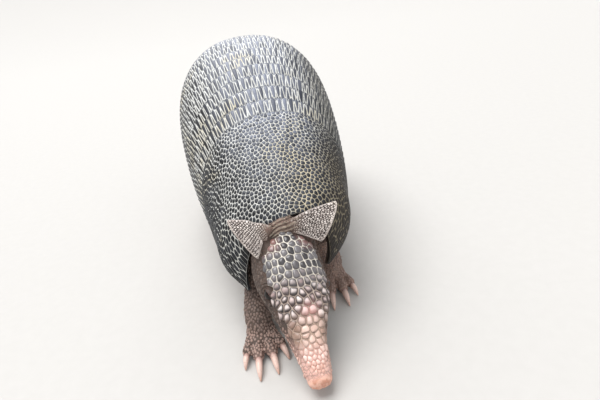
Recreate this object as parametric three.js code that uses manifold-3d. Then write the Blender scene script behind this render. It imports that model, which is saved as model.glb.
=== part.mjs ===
// A nine-banded armadillo at life size, standing on four feet and rooting with its snout at the ground.
// Millimetres, +Z up. The animal faces -Y and its left side is +X. The origin is on the floor, under the
// middle of its bounding box. The carapace is a front shield, nine bands and a rear shield over a trunk of
// flesh. The head carries a shield of its own, and the tail is sheathed in rings down to a scaly tip.
import * as THREE from "three";
import { mergeVertices } from "three/addons/utils/BufferGeometryUtils.js";
import Module from "manifold-3d";

const wasm = await Module();
wasm.setup();

// ---- driving dimensions -------------------------------------------------------------------------------
const gap = 0.35; // between neighbouring pieces
const bandCount = 9;
const tailRingCount = 12;

// The carapace as a row of arches. Each station has the place of its ridge, its greatest half-width, the
// place of its lower rim, and its roll about the ridge in degrees, which lifts the left side. The arch
// between ridge and rim is a superellipse in a leaning plane.
const carapace = {
  at: [0, 0.05, 0.14, 0.28, 0.45, 0.62, 0.78, 0.91, 1],
  ridgeX: [1.5, 2, 2.2, 1.5, -1.5, -3, -3, -2, -1],
  ridgeY: [-132, -117, -90, -53, 0, 62, 118, 160, 184],
  ridgeZ: [89, 99.5, 119, 145, 179, 194, 175, 143, 110],
  half: [33, 47, 54.2, 61.5, 71.5, 78, 78.5, 65, 34],
  rimX: [33, 36.5, 47.5, 57.5, 66.5, 72, 71, 57, 27],
  rimY: [-128, -117, -91, -60, -5, 55, 110, 150, 177],
  rimZ: [39, 38.5, 42, 49, 54, 55, 58, 67, 86],
  roll: [7, 5.5, 3.5, 1.5, 0.5, 0, 0, 0, 0],
  squareness: 2.25,
  thickness: 4,
  frontShield: [0, 0.025, 0.06, 0.11, 0.165, 0.222, 0.28],
  rearShield: [0.62, 0.68, 0.74, 0.8, 0.855, 0.9, 0.94, 0.975, 1],
  columns: 16,
};

// The head as a row of rounded sections along its own axis, from the nape (0) to the nose (1).
const head = {
  at: [0, 0.14, 0.3, 0.45, 0.6, 0.76, 0.88, 0.96, 1],
  half: [20, 24.5, 25, 21.5, 16, 11.9, 10, 9.2, 7.6],
  top: [-2, 1.5, 1.5, 0, -2.5, -5, -6.6, -7.2, -8.5],
  bottom: [-40, -44, -42, -36, -29, -23, -20.5, -19.5, -17.5],
  squareness: 2.3,
  length: 106,
  nape: new THREE.Vector3(-2.6, -127.6, 81.8),
  pitchDown: 37,
  turnLeft: 3.4,
  rollRight: 9,
};
const plate = { from: 0.045, to: 0.9, thickness: 1.5 };
plate.halfTurn = { at: [0, 0.25, 0.6, 1], value: [0.22, 0.28, 0.29, 0.28] };
const eye = { along: 0.39, out: 19, down: 12.6, radius: 4.5 };

// Each ear fans out from its base, from its tip down to its lobe.
const ears = [
  { side: "left", base: [-4, -136.2, 82.6], tip: [42, 4.2, 14.6], lobe: [25.5, -6.6, -11.6] },
  { side: "right", base: [-4.8, -138.2, 83.4], tip: [-36.2, 8.5, 13.2], lobe: [-20.3, -6.1, -12.9] },
];
const earEdge = { at: [0, 0.25, 0.5, 0.75, 1], reach: [1, 0.84, 0.75, 0.69, 0.66] };
const earSheet = { base: 4, thickness: 1.5, curl: 3 };

const neck = { half: 37, height: 32, lean: -0.06, fold: 1.16 };

// The trunk runs inside the carapace through these stations, and sags below it by these amounts.
const trunk = {
  stations: [...carapace.frontShield.slice(3), 0.365, 0.45, 0.535, ...carapace.rearShield.slice(0, -1)],
  sag: 7,
  rumpSag: 16,
};

const tail = {
  path: [
    [-1, 172, 93],
    [-1, 195, 84],
    [3, 226, 57],
    [7, 258, 29],
    [15, 296, 12.5],
    [32, 350, 7.6],
    [54, 404, 5],
    [74, 452, 3],
  ],
  radius: [19.5, 18.2, 16.2, 14, 11.8, 8, 5.2, 2.6],
  from: 0.045,
  ringsEnd: 0.62,
};

const foreFoot = {
  ankle: [9.5, 9],
  toes: [
    { side: -9, reach: 9, radius: 3.6, claw: 9, spread: -14 },
    { side: -3.4, reach: 15, radius: 4.2, claw: 15, spread: -4 },
    { side: 3.6, reach: 14, radius: 4.2, claw: 14, spread: 5 },
    { side: 9.4, reach: 8, radius: 3.9, claw: 10, spread: 15 },
  ],
  sole: { back: 6, front: 22, halfBack: 9, halfFront: 12.5, heightBack: 18, heightFront: 9 },
};
const hindFoot = {
  toes: [
    { side: -12, reach: 6, radius: 3.6, claw: 8, spread: -16 },
    { side: -6.5, reach: 13, radius: 4.2, claw: 11, spread: -7 },
    { side: 0, reach: 16, radius: 4.5, claw: 13, spread: 0 },
    { side: 6.5, reach: 12, radius: 4.2, claw: 11, spread: 8 },
    { side: 12, reach: 5, radius: 3.6, claw: 8, spread: 17 },
  ],
  sole: { back: 10, front: 38, halfBack: 9.5, halfFront: 15, heightBack: 20, heightFront: 9 },
};
// Each leg: the middle line from inside the trunk to the ankle, its radii, the foot's place and its turn.
const legs = [
  { name: "fore", side: "right", foot: [-33, -130], turn: 2, shape: foreFoot,
    line: [[-21, -84, 58], [-24, -100, 38], [-31, -119, 21], [-33, -130, 13]], radii: [17, 14, 11, 9.5] },
  { name: "fore", side: "left", foot: [35, -78], turn: -3, shape: foreFoot,
    line: [[22, -58, 60], [25, -66, 40], [32, -74, 22], [35, -78, 13]], radii: [17, 14, 11, 9.5] },
  { name: "hind", side: "right", foot: [-56, 108], turn: 8, shape: hindFoot,
    line: [[-46, 84, 72], [-51, 92, 50], [-56, 103, 30], [-56, 108, 14]], radii: [24, 20, 14, 10] },
  { name: "hind", side: "left", foot: [50, 98], turn: -8, shape: hindFoot,
    line: [[40, 76, 72], [45, 84, 50], [50, 94, 30], [50, 98, 14]], radii: [24, 20, 14, 10] },
];

// ---- materials ----------------------------------------------------------------------------------------
const finish = (color, roughness) => new THREE.MeshStandardMaterial({ color, roughness, metalness: 0 });
const materials = {
  shell: finish("#8d8d90", 0.55),
  headShell: finish("#8a7d7c", 0.5),
  skin: finish("#a58d80", 0.75),
  ear: finish("#8f8279", 0.7),
  claw: finish("#cdb7a2", 0.4),
  eye: finish("#120e0c", 0.12),
};

// ---- curves and meshes --------------------------------------------------------------------------------
const range = (count) => Array.from({ length: count + 1 }, (_, i) => i / count);
const bend = (value, power) => Math.sign(value) * Math.abs(value) ** power;

// The smooth curve through values at knots, by cubic pieces with matching slopes.
function through(knots, values, t) {
  const last = knots.length - 1;
  const step = (i) => knots[i + 1] - knots[i];
  const rise = (i) => (values[i + 1] - values[i]) / step(i);
  const slope = (i) => {
    if (i === 0) return rise(0);
    if (i === last) return rise(last - 1);
    return (rise(i - 1) * step(i) + rise(i) * step(i - 1)) / (step(i - 1) + step(i));
  };
  let i = 0;
  while (i < last - 1 && t >= knots[i + 1]) i += 1;
  const s = (t - knots[i]) / step(i);
  const h = step(i);
  return (
    (2 * s ** 3 - 3 * s ** 2 + 1) * values[i] +
    (s ** 3 - 2 * s ** 2 + s) * h * slope(i) +
    (3 * s ** 2 - 2 * s ** 3) * values[i + 1] +
    (s ** 3 - s ** 2) * h * slope(i + 1)
  );
}

function geometryOf(points, faces) {
  let volume = 0;
  for (const [a, b, c] of faces) {
    volume += points[a].dot(new THREE.Vector3().crossVectors(points[b], points[c]));
  }
  const index = faces.flatMap(([a, b, c]) => (volume < 0 ? [a, c, b] : [a, b, c]));
  const geometry = new THREE.BufferGeometry().setFromPoints(points);
  geometry.setIndex(index);
  return geometry;
}

// A closed body through rings of equally many points, its ends closed by fans.
function loft(rings) {
  const count = rings[0].length;
  const points = rings.flat();
  const faces = [];
  for (let i = 0; i + 1 < rings.length; i += 1) {
    for (let j = 0; j < count; j += 1) {
      const k = (j + 1) % count;
      const [a, b, c, d] = [i * count + j, i * count + k, (i + 1) * count + k, (i + 1) * count + j];
      faces.push([a, b, c], [a, c, d]);
    }
  }
  for (const [ring, flip] of [[0, true], [rings.length - 1, false]]) {
    const middle = new THREE.Vector3();
    for (const p of rings[ring]) middle.addScaledVector(p, 1 / count);
    const centre = points.push(middle) - 1;
    for (let j = 0; j < count; j += 1) {
      const [a, b] = [ring * count + j, ring * count + ((j + 1) % count)];
      faces.push(flip ? [centre, b, a] : [centre, a, b]);
    }
  }
  return geometryOf(points, faces);
}

// A closed plate between two grids of points, outer and inner, of the same size.
function plateBetween(outer, inner) {
  const rows = outer.length;
  const columns = outer[0].length;
  const points = [...outer.flat(), ...inner.flat()];
  const at = (side, i, j) => side * rows * columns + i * columns + j;
  const faces = [];
  const quad = (a, b, c, d) => faces.push([a, b, c], [a, c, d]);
  for (let i = 0; i + 1 < rows; i += 1) {
    for (let j = 0; j + 1 < columns; j += 1) {
      quad(at(0, i, j), at(0, i, j + 1), at(0, i + 1, j + 1), at(0, i + 1, j));
      quad(at(1, i, j), at(1, i + 1, j), at(1, i + 1, j + 1), at(1, i, j + 1));
    }
  }
  for (let j = 0; j + 1 < columns; j += 1) {
    quad(at(0, 0, j), at(1, 0, j), at(1, 0, j + 1), at(0, 0, j + 1));
    quad(at(0, rows - 1, j), at(0, rows - 1, j + 1), at(1, rows - 1, j + 1), at(1, rows - 1, j));
  }
  for (let i = 0; i + 1 < rows; i += 1) {
    quad(at(0, i, 0), at(0, i + 1, 0), at(1, i + 1, 0), at(1, i, 0));
    quad(at(0, i, columns - 1), at(1, i, columns - 1), at(1, i + 1, columns - 1), at(0, i + 1, columns - 1));
  }
  return geometryOf(points, faces);
}

// ---- joining and cutting ------------------------------------------------------------------------------
function solidOf(geometry) {
  const plain = geometry.clone();
  plain.deleteAttribute("normal");
  plain.deleteAttribute("uv");
  const merged = mergeVertices(plain, 1e-4);
  return new wasm.Manifold(
    new wasm.Mesh({
      numProp: 3,
      vertProperties: new Float32Array(merged.attributes.position.array),
      triVerts: new Uint32Array(merged.index.array),
    }),
  );
}

function geometryFrom(solid) {
  const mesh = solid.getMesh();
  const geometry = new THREE.BufferGeometry();
  geometry.setAttribute("position", new THREE.BufferAttribute(mesh.vertProperties, 3));
  geometry.setIndex(new THREE.BufferAttribute(mesh.triVerts, 1));
  return geometry;
}

const joined = (parts) => geometryFrom(parts.map(solidOf).reduce((a, b) => a.add(b)));
const without = (part, cutters) =>
  geometryFrom(cutters.map(solidOf).reduce((a, b) => a.subtract(b), solidOf(part)));

// ---- carapace -----------------------------------------------------------------------------------------
// A point of the carapace: v runs from the front edge (0) to the rear (1), s from the right rim (-1) over
// the ridge (0) to the left rim (1), and beyond them under the belly.
function arch(v, s) {
  const value = (key) => through(carapace.at, carapace[key], v);
  const [ridgeY, ridgeZ, half] = [value("ridgeY"), value("ridgeZ"), value("half")];
  const [rimX, rimY, rimZ] = [value("rimX"), value("rimY"), value("rimZ")];
  const power = 2 / carapace.squareness;
  const rimAngle = Math.PI - Math.asin(Math.min(rimX / half, 1) ** (1 / power));
  const height = (ridgeZ - rimZ) / (1 + Math.abs(Math.cos(rimAngle)) ** power);
  const angle = Math.abs(s) * rimAngle;
  const z = ridgeZ - height + height * bend(Math.cos(angle), power);
  const share = (ridgeZ - z) / (ridgeZ - rimZ);
  const x = Math.sign(s) * half * bend(Math.sin(angle), power);
  const roll = THREE.MathUtils.degToRad(value("roll"));
  return new THREE.Vector3(
    value("ridgeX") + x * Math.cos(roll) + (z - ridgeZ) * Math.sin(roll),
    ridgeY + (rimY - ridgeY) * share,
    ridgeZ + (z - ridgeZ) * Math.cos(roll) + x * Math.sin(roll),
  );
}

// The same point, moved in by a depth along the surface's normal.
function carapacePoint(v, s, depth) {
  const step = 1e-3;
  const [v0, v1] = [Math.max(v - step, 0), Math.min(v + step, 1)];
  const along = arch(v1, s).sub(arch(v0, s));
  const around = arch(v, Math.min(s + step, 1)).sub(arch(v, Math.max(s - step, -1)));
  const normal = new THREE.Vector3().crossVectors(along, around).normalize();
  if (normal.dot(arch(v, s).sub(new THREE.Vector3(0, 20, 70))) < 0) normal.negate();
  return arch(v, s).addScaledVector(normal, -depth);
}

function carapacePiece(stations) {
  const grid = (depth) =>
    stations.map((v) => range(carapace.columns).map((j) => carapacePoint(v, 2 * j - 1, depth)));
  return plateBetween(grid(0), grid(carapace.thickness));
}

// ---- trunk --------------------------------------------------------------------------------------------
// The trunk fills the carapace and closes it below with the belly. A positive growth makes it larger.
function trunkRing(v, growth) {
  const depth = carapace.thickness + gap - growth;
  const over = range(carapace.columns).map((j) => carapacePoint(v, 2 * j - 1, depth));
  const [right, left] = [over[0], over[over.length - 1]];
  const ridge = over[carapace.columns / 2];
  const sag = trunk.sag + (trunk.rumpSag - trunk.sag) * THREE.MathUtils.smoothstep(v, 0.8, 1) + growth;
  const lean = (right.y + left.y - 2 * ridge.y) / (2 * ridge.z - right.z - left.z);
  const under = range(7).slice(1, -1).map((j) => {
    const drop = sag * Math.sin(Math.PI * j) ** 0.7;
    const p = new THREE.Vector3().lerpVectors(left, right, j);
    return new THREE.Vector3(p.x, p.y + lean * drop, p.z - drop);
  });
  return [...over, ...under];
}

function trunkSolid(growth) {
  const last = trunk.stations.length - 1;
  const overrun = (i) => growth * 0.006 * ((i === last) - (i === 0));
  return loft(trunk.stations.map((v, i) => trunkRing(v + overrun(i), growth)));
}

// ---- head, neck, eyes and ears ------------------------------------------------------------------------
const headAxes = (() => {
  const [pitch, turn, roll] = [head.pitchDown, head.turnLeft, head.rollRight].map(THREE.MathUtils.degToRad);
  const forward = new THREE.Vector3(
    Math.sin(turn) * Math.cos(pitch),
    -Math.cos(turn) * Math.cos(pitch),
    -Math.sin(pitch),
  );
  const level = new THREE.Vector3(Math.cos(turn), Math.sin(turn), 0);
  const upright = new THREE.Vector3().crossVectors(forward, level);
  if (upright.z < 0) upright.negate();
  const left = level.clone().multiplyScalar(Math.cos(roll)).addScaledVector(upright, -Math.sin(roll));
  const up = level.clone().multiplyScalar(Math.sin(roll)).addScaledVector(upright, Math.cos(roll));
  return { forward, left, up };
})();

// A place in the head's own frame: along it from the nape, to its left, and up from the nape's level.
const headPlace = (along, left, up) =>
  head.nape
    .clone()
    .addScaledVector(headAxes.forward, along * head.length)
    .addScaledVector(headAxes.left, left)
    .addScaledVector(headAxes.up, up);

// A point of the head's surface: s runs from under the chin (-1) over the right cheek, the crown (0) and
// the left cheek back to the chin (1). It is moved in by a depth towards the section's middle.
function headPoint(u, s, depth) {
  const [half, top, bottom] = ["half", "top", "bottom"].map((key) => through(head.at, head[key], u));
  const middle = top * 0.45 + bottom * 0.55;
  const power = 2 / head.squareness;
  const angle = s * Math.PI;
  const reach = Math.cos(angle) > 0 ? top - middle : middle - bottom;
  return headPlace(
    u,
    (half - depth) * bend(Math.sin(angle), power),
    middle + (reach - depth) * bend(Math.cos(angle), power),
  );
}

const headRing = (u, depth, count) =>
  range(count).slice(0, count).map((j) => headPoint(u, 2 * j - 1, depth));

// The head shield covers the crown. It is narrower at the nape and on the snout.
const plateTurn = (u) => through(plate.halfTurn.at, plate.halfTurn.value, u);
const plateRows = range(10).map((i) => plate.from + (plate.to - plate.from) * i);
const plateColumns = range(8).map((j) => 2 * j - 1);

function headPlate() {
  const grid = (depth) => plateRows.map((u) => plateColumns.map((k) => headPoint(u, plateTurn(u) * k, depth)));
  return plateBetween(grid(0), grid(plate.thickness));
}

// The head has a bed for its shield: one ledge beside it, and the floor of the bed under it.
function headSolid() {
  const bed = plate.thickness + gap;
  const [near, far] = [0.006, 0.012];
  const section = (u, depth) => {
    const turn = plateTurn(u);
    const under = range(8).map((j) => turn + far + (2 - 2 * turn - 2 * far) * j);
    const over = plateColumns.map((k) => (turn + near) * k);
    return [
      ...over.map((s) => headPoint(u, s, depth)),
      ...under.map((s) => headPoint(u, s > 1 ? s - 2 : s, u > 0.95 ? depth : 0)),
    ];
  };
  const rings = [
    ...[0, plate.from - far].map((u) => section(u, 0)),
    section(plate.from - near, bed),
    ...plateRows.slice(1, -1).map((u) => section(u, bed)),
    section(plate.to + near, bed),
    section(plate.to + far, 0),
    section(0.955, 0),
    section(0.985, 1),
    section(1, 3),
  ];
  return without(loft(rings), [-1, 1].map((side) => eyeBall(side, eye.radius + gap)));
}

function eyeBall(side, radius) {
  const ball = new THREE.SphereGeometry(radius, 10, 7);
  const place = headPlace(eye.along, side * eye.out, -eye.down);
  return ball.translate(place.x, place.y, place.z);
}

// The neck runs from just behind the head to just before the trunk. Its first fold stands up at the nape.
function neckSolid() {
  const count = 16;
  const first = headRing(0, 0.8, count).map((p) => p.addScaledVector(headAxes.forward, -gap));
  const trunkFront = trunkRing(trunk.stations[0], 0);
  const middle = new THREE.Vector3();
  for (const p of trunkFront) middle.addScaledVector(p, 1 / trunkFront.length);
  const last = range(count).slice(0, count).map((j) => {
    const angle = (2 * j - 1) * Math.PI;
    const [x, z] = [neck.half * Math.sin(angle), neck.height * Math.cos(angle)];
    return new THREE.Vector3(middle.x + x, middle.y - gap - 1.2 - neck.lean * z, middle.z + z);
  });
  const between = (share, swell) =>
    first.map((p, j) => {
      const centre = new THREE.Vector3().lerpVectors(headPlace(0, 0, -21), middle, share);
      return new THREE.Vector3().lerpVectors(p, last[j], share).sub(centre).multiplyScalar(swell).add(centre);
    });
  return loft([first, between(0.12, neck.fold), between(0.55, 1.06), last]);
}

// An ear is a leaf with its edges curled towards the shoulder. Its rounded back faces forwards and up.
function earSolid({ base, tip, lobe }) {
  const [origin, along, down] = [base, tip, lobe].map((p) => new THREE.Vector3(...p));
  const fan = along.angleTo(down);
  const length = along.length();
  along.normalize();
  down.addScaledVector(along, -down.dot(along)).normalize();
  const back = new THREE.Vector3().crossVectors(along, down).normalize();
  if (back.y > 0) back.negate();
  const grid = (depth) =>
    range(6).map((i) =>
      range(8).map((j) => {
        const edge = through(earEdge.at, earEdge.reach, j) * length;
        const reach = earSheet.base + (edge - earSheet.base) * i;
        const across = Math.abs(j - 0.45) / 0.55;
        const curl = earSheet.curl * i * across ** 2;
        return origin
          .clone()
          .addScaledVector(along, reach * Math.cos(fan * j))
          .addScaledVector(down, reach * Math.sin(fan * j))
          .addScaledVector(back, -curl - depth * (1 - 0.45 * i));
      }),
    );
  return plateBetween(grid(0), grid(earSheet.thickness));
}

// ---- tail ---------------------------------------------------------------------------------------------
const tailLine = new THREE.CatmullRomCurve3(tail.path.map((p) => new THREE.Vector3(...p)));
const tailKnots = range(tail.path.length - 1);

function tailRing(t, count, swell) {
  const centre = tailLine.getPoint(t);
  const along = tailLine.getTangent(t);
  const side = new THREE.Vector3().crossVectors(along, new THREE.Vector3(0, 0, 1)).normalize();
  const up = new THREE.Vector3().crossVectors(side, along);
  const radius = through(tailKnots, tail.radius, t) + swell;
  return range(count).slice(0, count).map((j) => {
    const angle = 2 * Math.PI * j;
    const p = centre.clone().addScaledVector(side, radius * Math.sin(angle));
    p.addScaledVector(up, radius * Math.cos(angle));
    p.z = Math.max(p.z, 0);
    return p;
  });
}

function tailPiece(from, to, rows, flare) {
  const trim = (0.5 * gap) / tailLine.getLength();
  return loft(
    range(rows).map((i) => tailRing(from + trim + (to - from - 2 * trim) * i, 14, flare * (i - 0.6))),
  );
}

// ---- legs and feet ------------------------------------------------------------------------------------
// A leg is round along its line. Its last ring lies level on the foot.
function legSolid(leg) {
  const line = new THREE.CatmullRomCurve3(leg.line.map((p) => new THREE.Vector3(...p)));
  const knots = range(leg.line.length - 1);
  return loft(
    range(6).map((t) => {
      const along = line.getTangent(t);
      const side = new THREE.Vector3().crossVectors(along, new THREE.Vector3(0, 1, 0)).normalize();
      const front = new THREE.Vector3().crossVectors(side, along);
      const radius = through(knots, leg.radii, t);
      return range(10).slice(0, 10).map((j) => {
        const angle = 2 * Math.PI * j;
        return line
          .getPoint(t)
          .addScaledVector(side, 0.92 * radius * Math.sin(angle))
          .addScaledVector(front, radius * Math.cos(angle));
      });
    }),
  );
}

// A round rod from one ring to the next, each given as [forward, side, height, radius], kept above the floor.
function rod(leg, stations, count) {
  return loft(
    stations.map(([forward, side, height, radius], i) => {
      const ahead = stations[Math.min(i + 1, stations.length - 1)];
      const behind = stations[Math.max(i - 1, 0)];
      const along = new THREE.Vector3(ahead[1] - behind[1], behind[0] - ahead[0], ahead[2] - behind[2]).normalize();
      const across = new THREE.Vector3().crossVectors(along, new THREE.Vector3(0, 0, 1)).normalize();
      const up = new THREE.Vector3().crossVectors(across, along);
      return range(count).slice(0, count).map((j) => {
        const angle = 2 * Math.PI * (j + 0.5 / count);
        const p = new THREE.Vector3(side, -forward, height)
          .addScaledVector(across, radius * Math.sin(angle))
          .addScaledVector(up, radius * Math.cos(angle));
        return footPlace(leg, p);
      });
    }),
  );
}

function footPlace(leg, p) {
  const turn = THREE.MathUtils.degToRad(leg.turn);
  return new THREE.Vector3(
    leg.foot[0] + p.x * Math.cos(turn) - p.y * Math.sin(turn),
    leg.foot[1] + p.x * Math.sin(turn) + p.y * Math.cos(turn),
    Math.max(p.z, 0),
  );
}

// The sole is a low rounded wedge, higher at the heel.
function soleSolid(leg, growth) {
  const { back, front, halfBack, halfFront, heightBack, heightFront } = leg.shape.sole;
  return loft(
    range(5).map((t) => {
      const forward = -back - growth + (back + front + 2 * growth) * t;
      const ease = Math.sin(Math.PI * Math.min(0.12 + t * 0.8, 0.5)) ** 0.8;
      const half = (halfBack + (halfFront - halfBack) * t) * ease + growth;
      const height = (heightBack + (heightFront - heightBack) * t ** 0.8) * ease + growth;
      return range(10).slice(0, 10).map((j) => {
        const angle = 2 * Math.PI * (j + 0.05);
        const x = half * bend(Math.sin(angle), 0.8);
        const z = height * 0.5 + height * 0.56 * bend(Math.cos(angle), 0.8);
        return footPlace(leg, new THREE.Vector3(x, -forward, z));
      });
    }),
  );
}

// Where a toe starts, where its claw starts, and the direction between them.
function toeLine(leg, toe) {
  const spread = THREE.MathUtils.degToRad(toe.spread);
  const start = leg.shape.sole.front - 7;
  const ahead = (reach) => [start + reach * Math.cos(spread), toe.side + reach * Math.sin(spread)];
  return { ahead, knuckle: 7 + toe.reach * 0.45, end: 7 + toe.reach };
}

function toeSolid(leg, toe) {
  const { ahead, knuckle, end } = toeLine(leg, toe);
  return rod(
    leg,
    [
      [...ahead(0), 4.6, toe.radius * 0.95],
      [...ahead(knuckle), 5.6, toe.radius],
      [...ahead(end), 4.3, toe.radius * 0.8],
    ],
    7,
  );
}

function clawSolid(leg, toe) {
  const { ahead, end } = toeLine(leg, toe);
  const root = toe.radius * 0.7;
  return rod(
    leg,
    [
      [...ahead(end + 3.4 * gap), 4.2, root],
      [...ahead(end + toe.claw * 0.35), 4.4, root * 0.88],
      [...ahead(end + toe.claw * 0.7), 3, root * 0.6],
      [...ahead(end + toe.claw), 0.9, root * 0.22],
    ],
    6,
  );
}

// ---- the animal ---------------------------------------------------------------------------------------
const animal = new THREE.Group();
const body = new THREE.Group();
animal.add(body);

function add(name, geometry, material) {
  const mesh = new THREE.Mesh(geometry, material);
  mesh.name = name;
  geometry.computeVertexNormals();
  body.add(mesh);
}

const [frontShield, rearShield] = [carapace.frontShield, carapace.rearShield];
const bandsFrom = frontShield[frontShield.length - 1];
const bandWidth = (rearShield[0] - bandsFrom) / bandCount;
const trim = 0.0007; // half the gap between two carapace pieces, as a share of its length
add("scapular_shield", carapacePiece([...frontShield.slice(0, -1), bandsFrom - trim]), materials.shell);
for (let i = 0; i < bandCount; i += 1) {
  const from = bandsFrom + bandWidth * i;
  add(`band_${i + 1}`, carapacePiece([from + trim, from + bandWidth - trim]), materials.shell);
}
add("pelvic_shield", carapacePiece([rearShield[0] + trim, ...rearShield.slice(1)]), materials.shell);

add("trunk", trunkSolid(0), materials.skin);
add("neck", neckSolid(), materials.skin);
add("head", headSolid(), materials.skin);
add("head_shield", headPlate(), materials.headShell);
add("eye_left", eyeBall(1, eye.radius), materials.eye);
add("eye_right", eyeBall(-1, eye.radius), materials.eye);
for (const ear of ears) add(`ear_${ear.side}`, earSolid(ear), materials.ear);

const ringLength = (tail.ringsEnd - tail.from) / tailRingCount;
for (let i = 0; i < tailRingCount; i += 1) {
  const from = tail.from + ringLength * i;
  add(`tail_ring_${i + 1}`, tailPiece(from, from + ringLength, 1, 1.4), materials.shell);
}
add("tail_tip", tailPiece(tail.ringsEnd, 1, 8, 0), materials.shell);

const flesh = [trunkSolid(gap), neckSolid()];
for (const leg of legs) {
  const soles = soleSolid(leg, gap);
  add(`${leg.name}leg_${leg.side}`, without(legSolid(leg), [...flesh, soles]), materials.skin);
  const foot = [soleSolid(leg, 0), ...leg.shape.toes.map((toe) => toeSolid(leg, toe))];
  add(`${leg.name}foot_${leg.side}`, joined(foot), materials.skin);
  leg.shape.toes.forEach((toe, i) =>
    add(`${leg.name}foot_${leg.side}_claw_${i + 1}`, clawSolid(leg, toe), materials.claw),
  );
}

// The model's origin lies under the middle of its bounding box. The shapes above are placed from a datum
// near the middle of the back.
const middle = new THREE.Box3().setFromObject(body).getCenter(new THREE.Vector3());
body.position.set(-middle.x, -middle.y, 0);

export default animal;
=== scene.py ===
import math
import random

import bmesh
import bpy
import numpy as np
from mathutils import Matrix, Vector, kdtree


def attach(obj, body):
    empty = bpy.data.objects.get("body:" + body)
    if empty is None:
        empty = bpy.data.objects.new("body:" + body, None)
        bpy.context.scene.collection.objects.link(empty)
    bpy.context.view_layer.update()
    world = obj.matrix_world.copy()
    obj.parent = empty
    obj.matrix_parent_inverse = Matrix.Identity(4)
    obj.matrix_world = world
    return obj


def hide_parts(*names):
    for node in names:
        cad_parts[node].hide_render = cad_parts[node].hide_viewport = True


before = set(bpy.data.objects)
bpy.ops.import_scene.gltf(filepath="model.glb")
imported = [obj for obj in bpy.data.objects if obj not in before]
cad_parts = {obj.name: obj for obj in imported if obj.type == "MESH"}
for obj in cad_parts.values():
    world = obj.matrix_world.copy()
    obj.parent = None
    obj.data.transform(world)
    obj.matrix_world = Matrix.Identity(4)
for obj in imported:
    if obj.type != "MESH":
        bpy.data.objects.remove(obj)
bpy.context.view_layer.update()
print("frame loaded:", len(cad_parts), "nodes")

shift = np.array([3.1129, -123.4628, 0.0])  # from the body's own datum, in mm, to the frame's origin


# Curves and surfaces, in millimetres from the body's own datum

def through(knots, values, t):
    # A smooth curve through the values at the knots, read at t
    knots, values, t = (np.asarray(a, float) for a in (knots, values, t))
    step = np.diff(knots)
    rise = np.diff(values) / step
    slope = np.concatenate([rise[:1], rise, rise[-1:]])[: len(knots)]
    slope[1:-1] = (rise[:-1] * step[1:] + rise[1:] * step[:-1]) / (step[:-1] + step[1:])
    slope[-1] = rise[-1]
    i = np.clip(np.searchsorted(knots, t, side="right") - 1, 0, len(step) - 1)
    h = step[i]
    s = (t - knots[i]) / h
    return (
        (2 * s**3 - 3 * s**2 + 1) * values[i]
        + (s**3 - 2 * s**2 + s) * h * slope[i]
        + (3 * s**2 - 2 * s**3) * values[i + 1]
        + (s**3 - s**2) * h * slope[i + 1]
    )


def bend(value, power):
    # A power that keeps the sign
    return np.sign(value) * np.abs(value) ** power


def smooth(low, high, value):
    # An eased step from 0 at low to 1 at high, which may lie either way round
    t = np.clip((np.asarray(value, float) - low) / (high - low), 0, 1)
    return t * t * (3 - 2 * t)


def unit(vectors):
    return vectors / np.maximum(np.linalg.norm(vectors, axis=-1, keepdims=True), 1e-9)


class Patch:
    # A surface laid out flat in millimetres: x runs across it from its middle line, y along that line
    def __init__(self, point, rows, sides=(-1, 1), columns=321, away=(0, 20, 70)):
        fine = np.linspace(sides[0], sides[1], 4 * columns)
        raw = point(np.asarray(rows)[:, None], fine[None, :])
        steps = np.linalg.norm(np.diff(raw, axis=1), axis=2)
        run = np.concatenate([np.zeros((len(rows), 1)), np.cumsum(steps, axis=1)], axis=1)
        self.width = run[:, -1]
        self.middle = np.array([np.interp(0, fine, r) for r in run])
        even = np.linspace(0, 1, columns)
        self.grid = np.empty((len(rows), columns, 3))
        for i, r in enumerate(run):
            for axis in range(3):
                self.grid[i, :, axis] = np.interp(even * r[-1], r, raw[i, :, axis])
        line = np.stack([self.at(i, m / w) for i, (m, w) in enumerate(zip(self.middle, self.width))])
        self.y = np.concatenate([[0], np.cumsum(np.linalg.norm(np.diff(line, axis=0), axis=1))])
        along = np.gradient(self.grid, axis=0)
        across = np.gradient(self.grid, axis=1)
        self.normal = unit(np.cross(along, across))
        centre = self.grid[len(rows) // 2, columns // 2]
        if np.dot(self.normal[len(rows) // 2, columns // 2], centre - np.array(away)) < 0:
            self.normal = -self.normal
        self.rows = np.asarray(rows)
        self.turns = np.array([np.interp(even * r[-1], r, fine) for r in run])

    def at(self, row, share):
        return self.grid[row, int(round(np.clip(share, 0, 1) * (self.grid.shape[1] - 1)))]

    def left(self, y):
        return np.interp(y, self.y, self.width - self.middle)

    def right(self, y):
        return -np.interp(y, self.y, self.middle)

    def yOf(self, row):
        return float(np.interp(row, self.rows, self.y))

    def rowOf(self, y):
        return np.interp(y, self.y, self.rows)

    def place(self, x, y, height):
        r = np.clip(np.interp(y, self.y, np.arange(len(self.y))), 0, len(self.y) - 1.001)
        share = (x + np.interp(y, self.y, self.middle)) / np.interp(y, self.y, self.width)
        c = np.clip(share, 0, 1) * (self.grid.shape[1] - 1.001)
        i, j = r.astype(int), c.astype(int)
        a, b = (r - i)[:, None], (c - j)[:, None]

        def read(table):
            return (
                table[i, j] * (1 - a) * (1 - b)
                + table[i + 1, j] * a * (1 - b)
                + table[i, j + 1] * (1 - a) * b
                + table[i + 1, j + 1] * a * b
            )

        return read(self.grid) + unit(read(self.normal)) * np.asarray(height)[:, None]


def setValues(mesh, key, values):
    # One number for each point, which the materials read
    mesh.attributes.new(key, "FLOAT", "POINT").data.foreach_set("value", np.asarray(values, np.float32))


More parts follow.
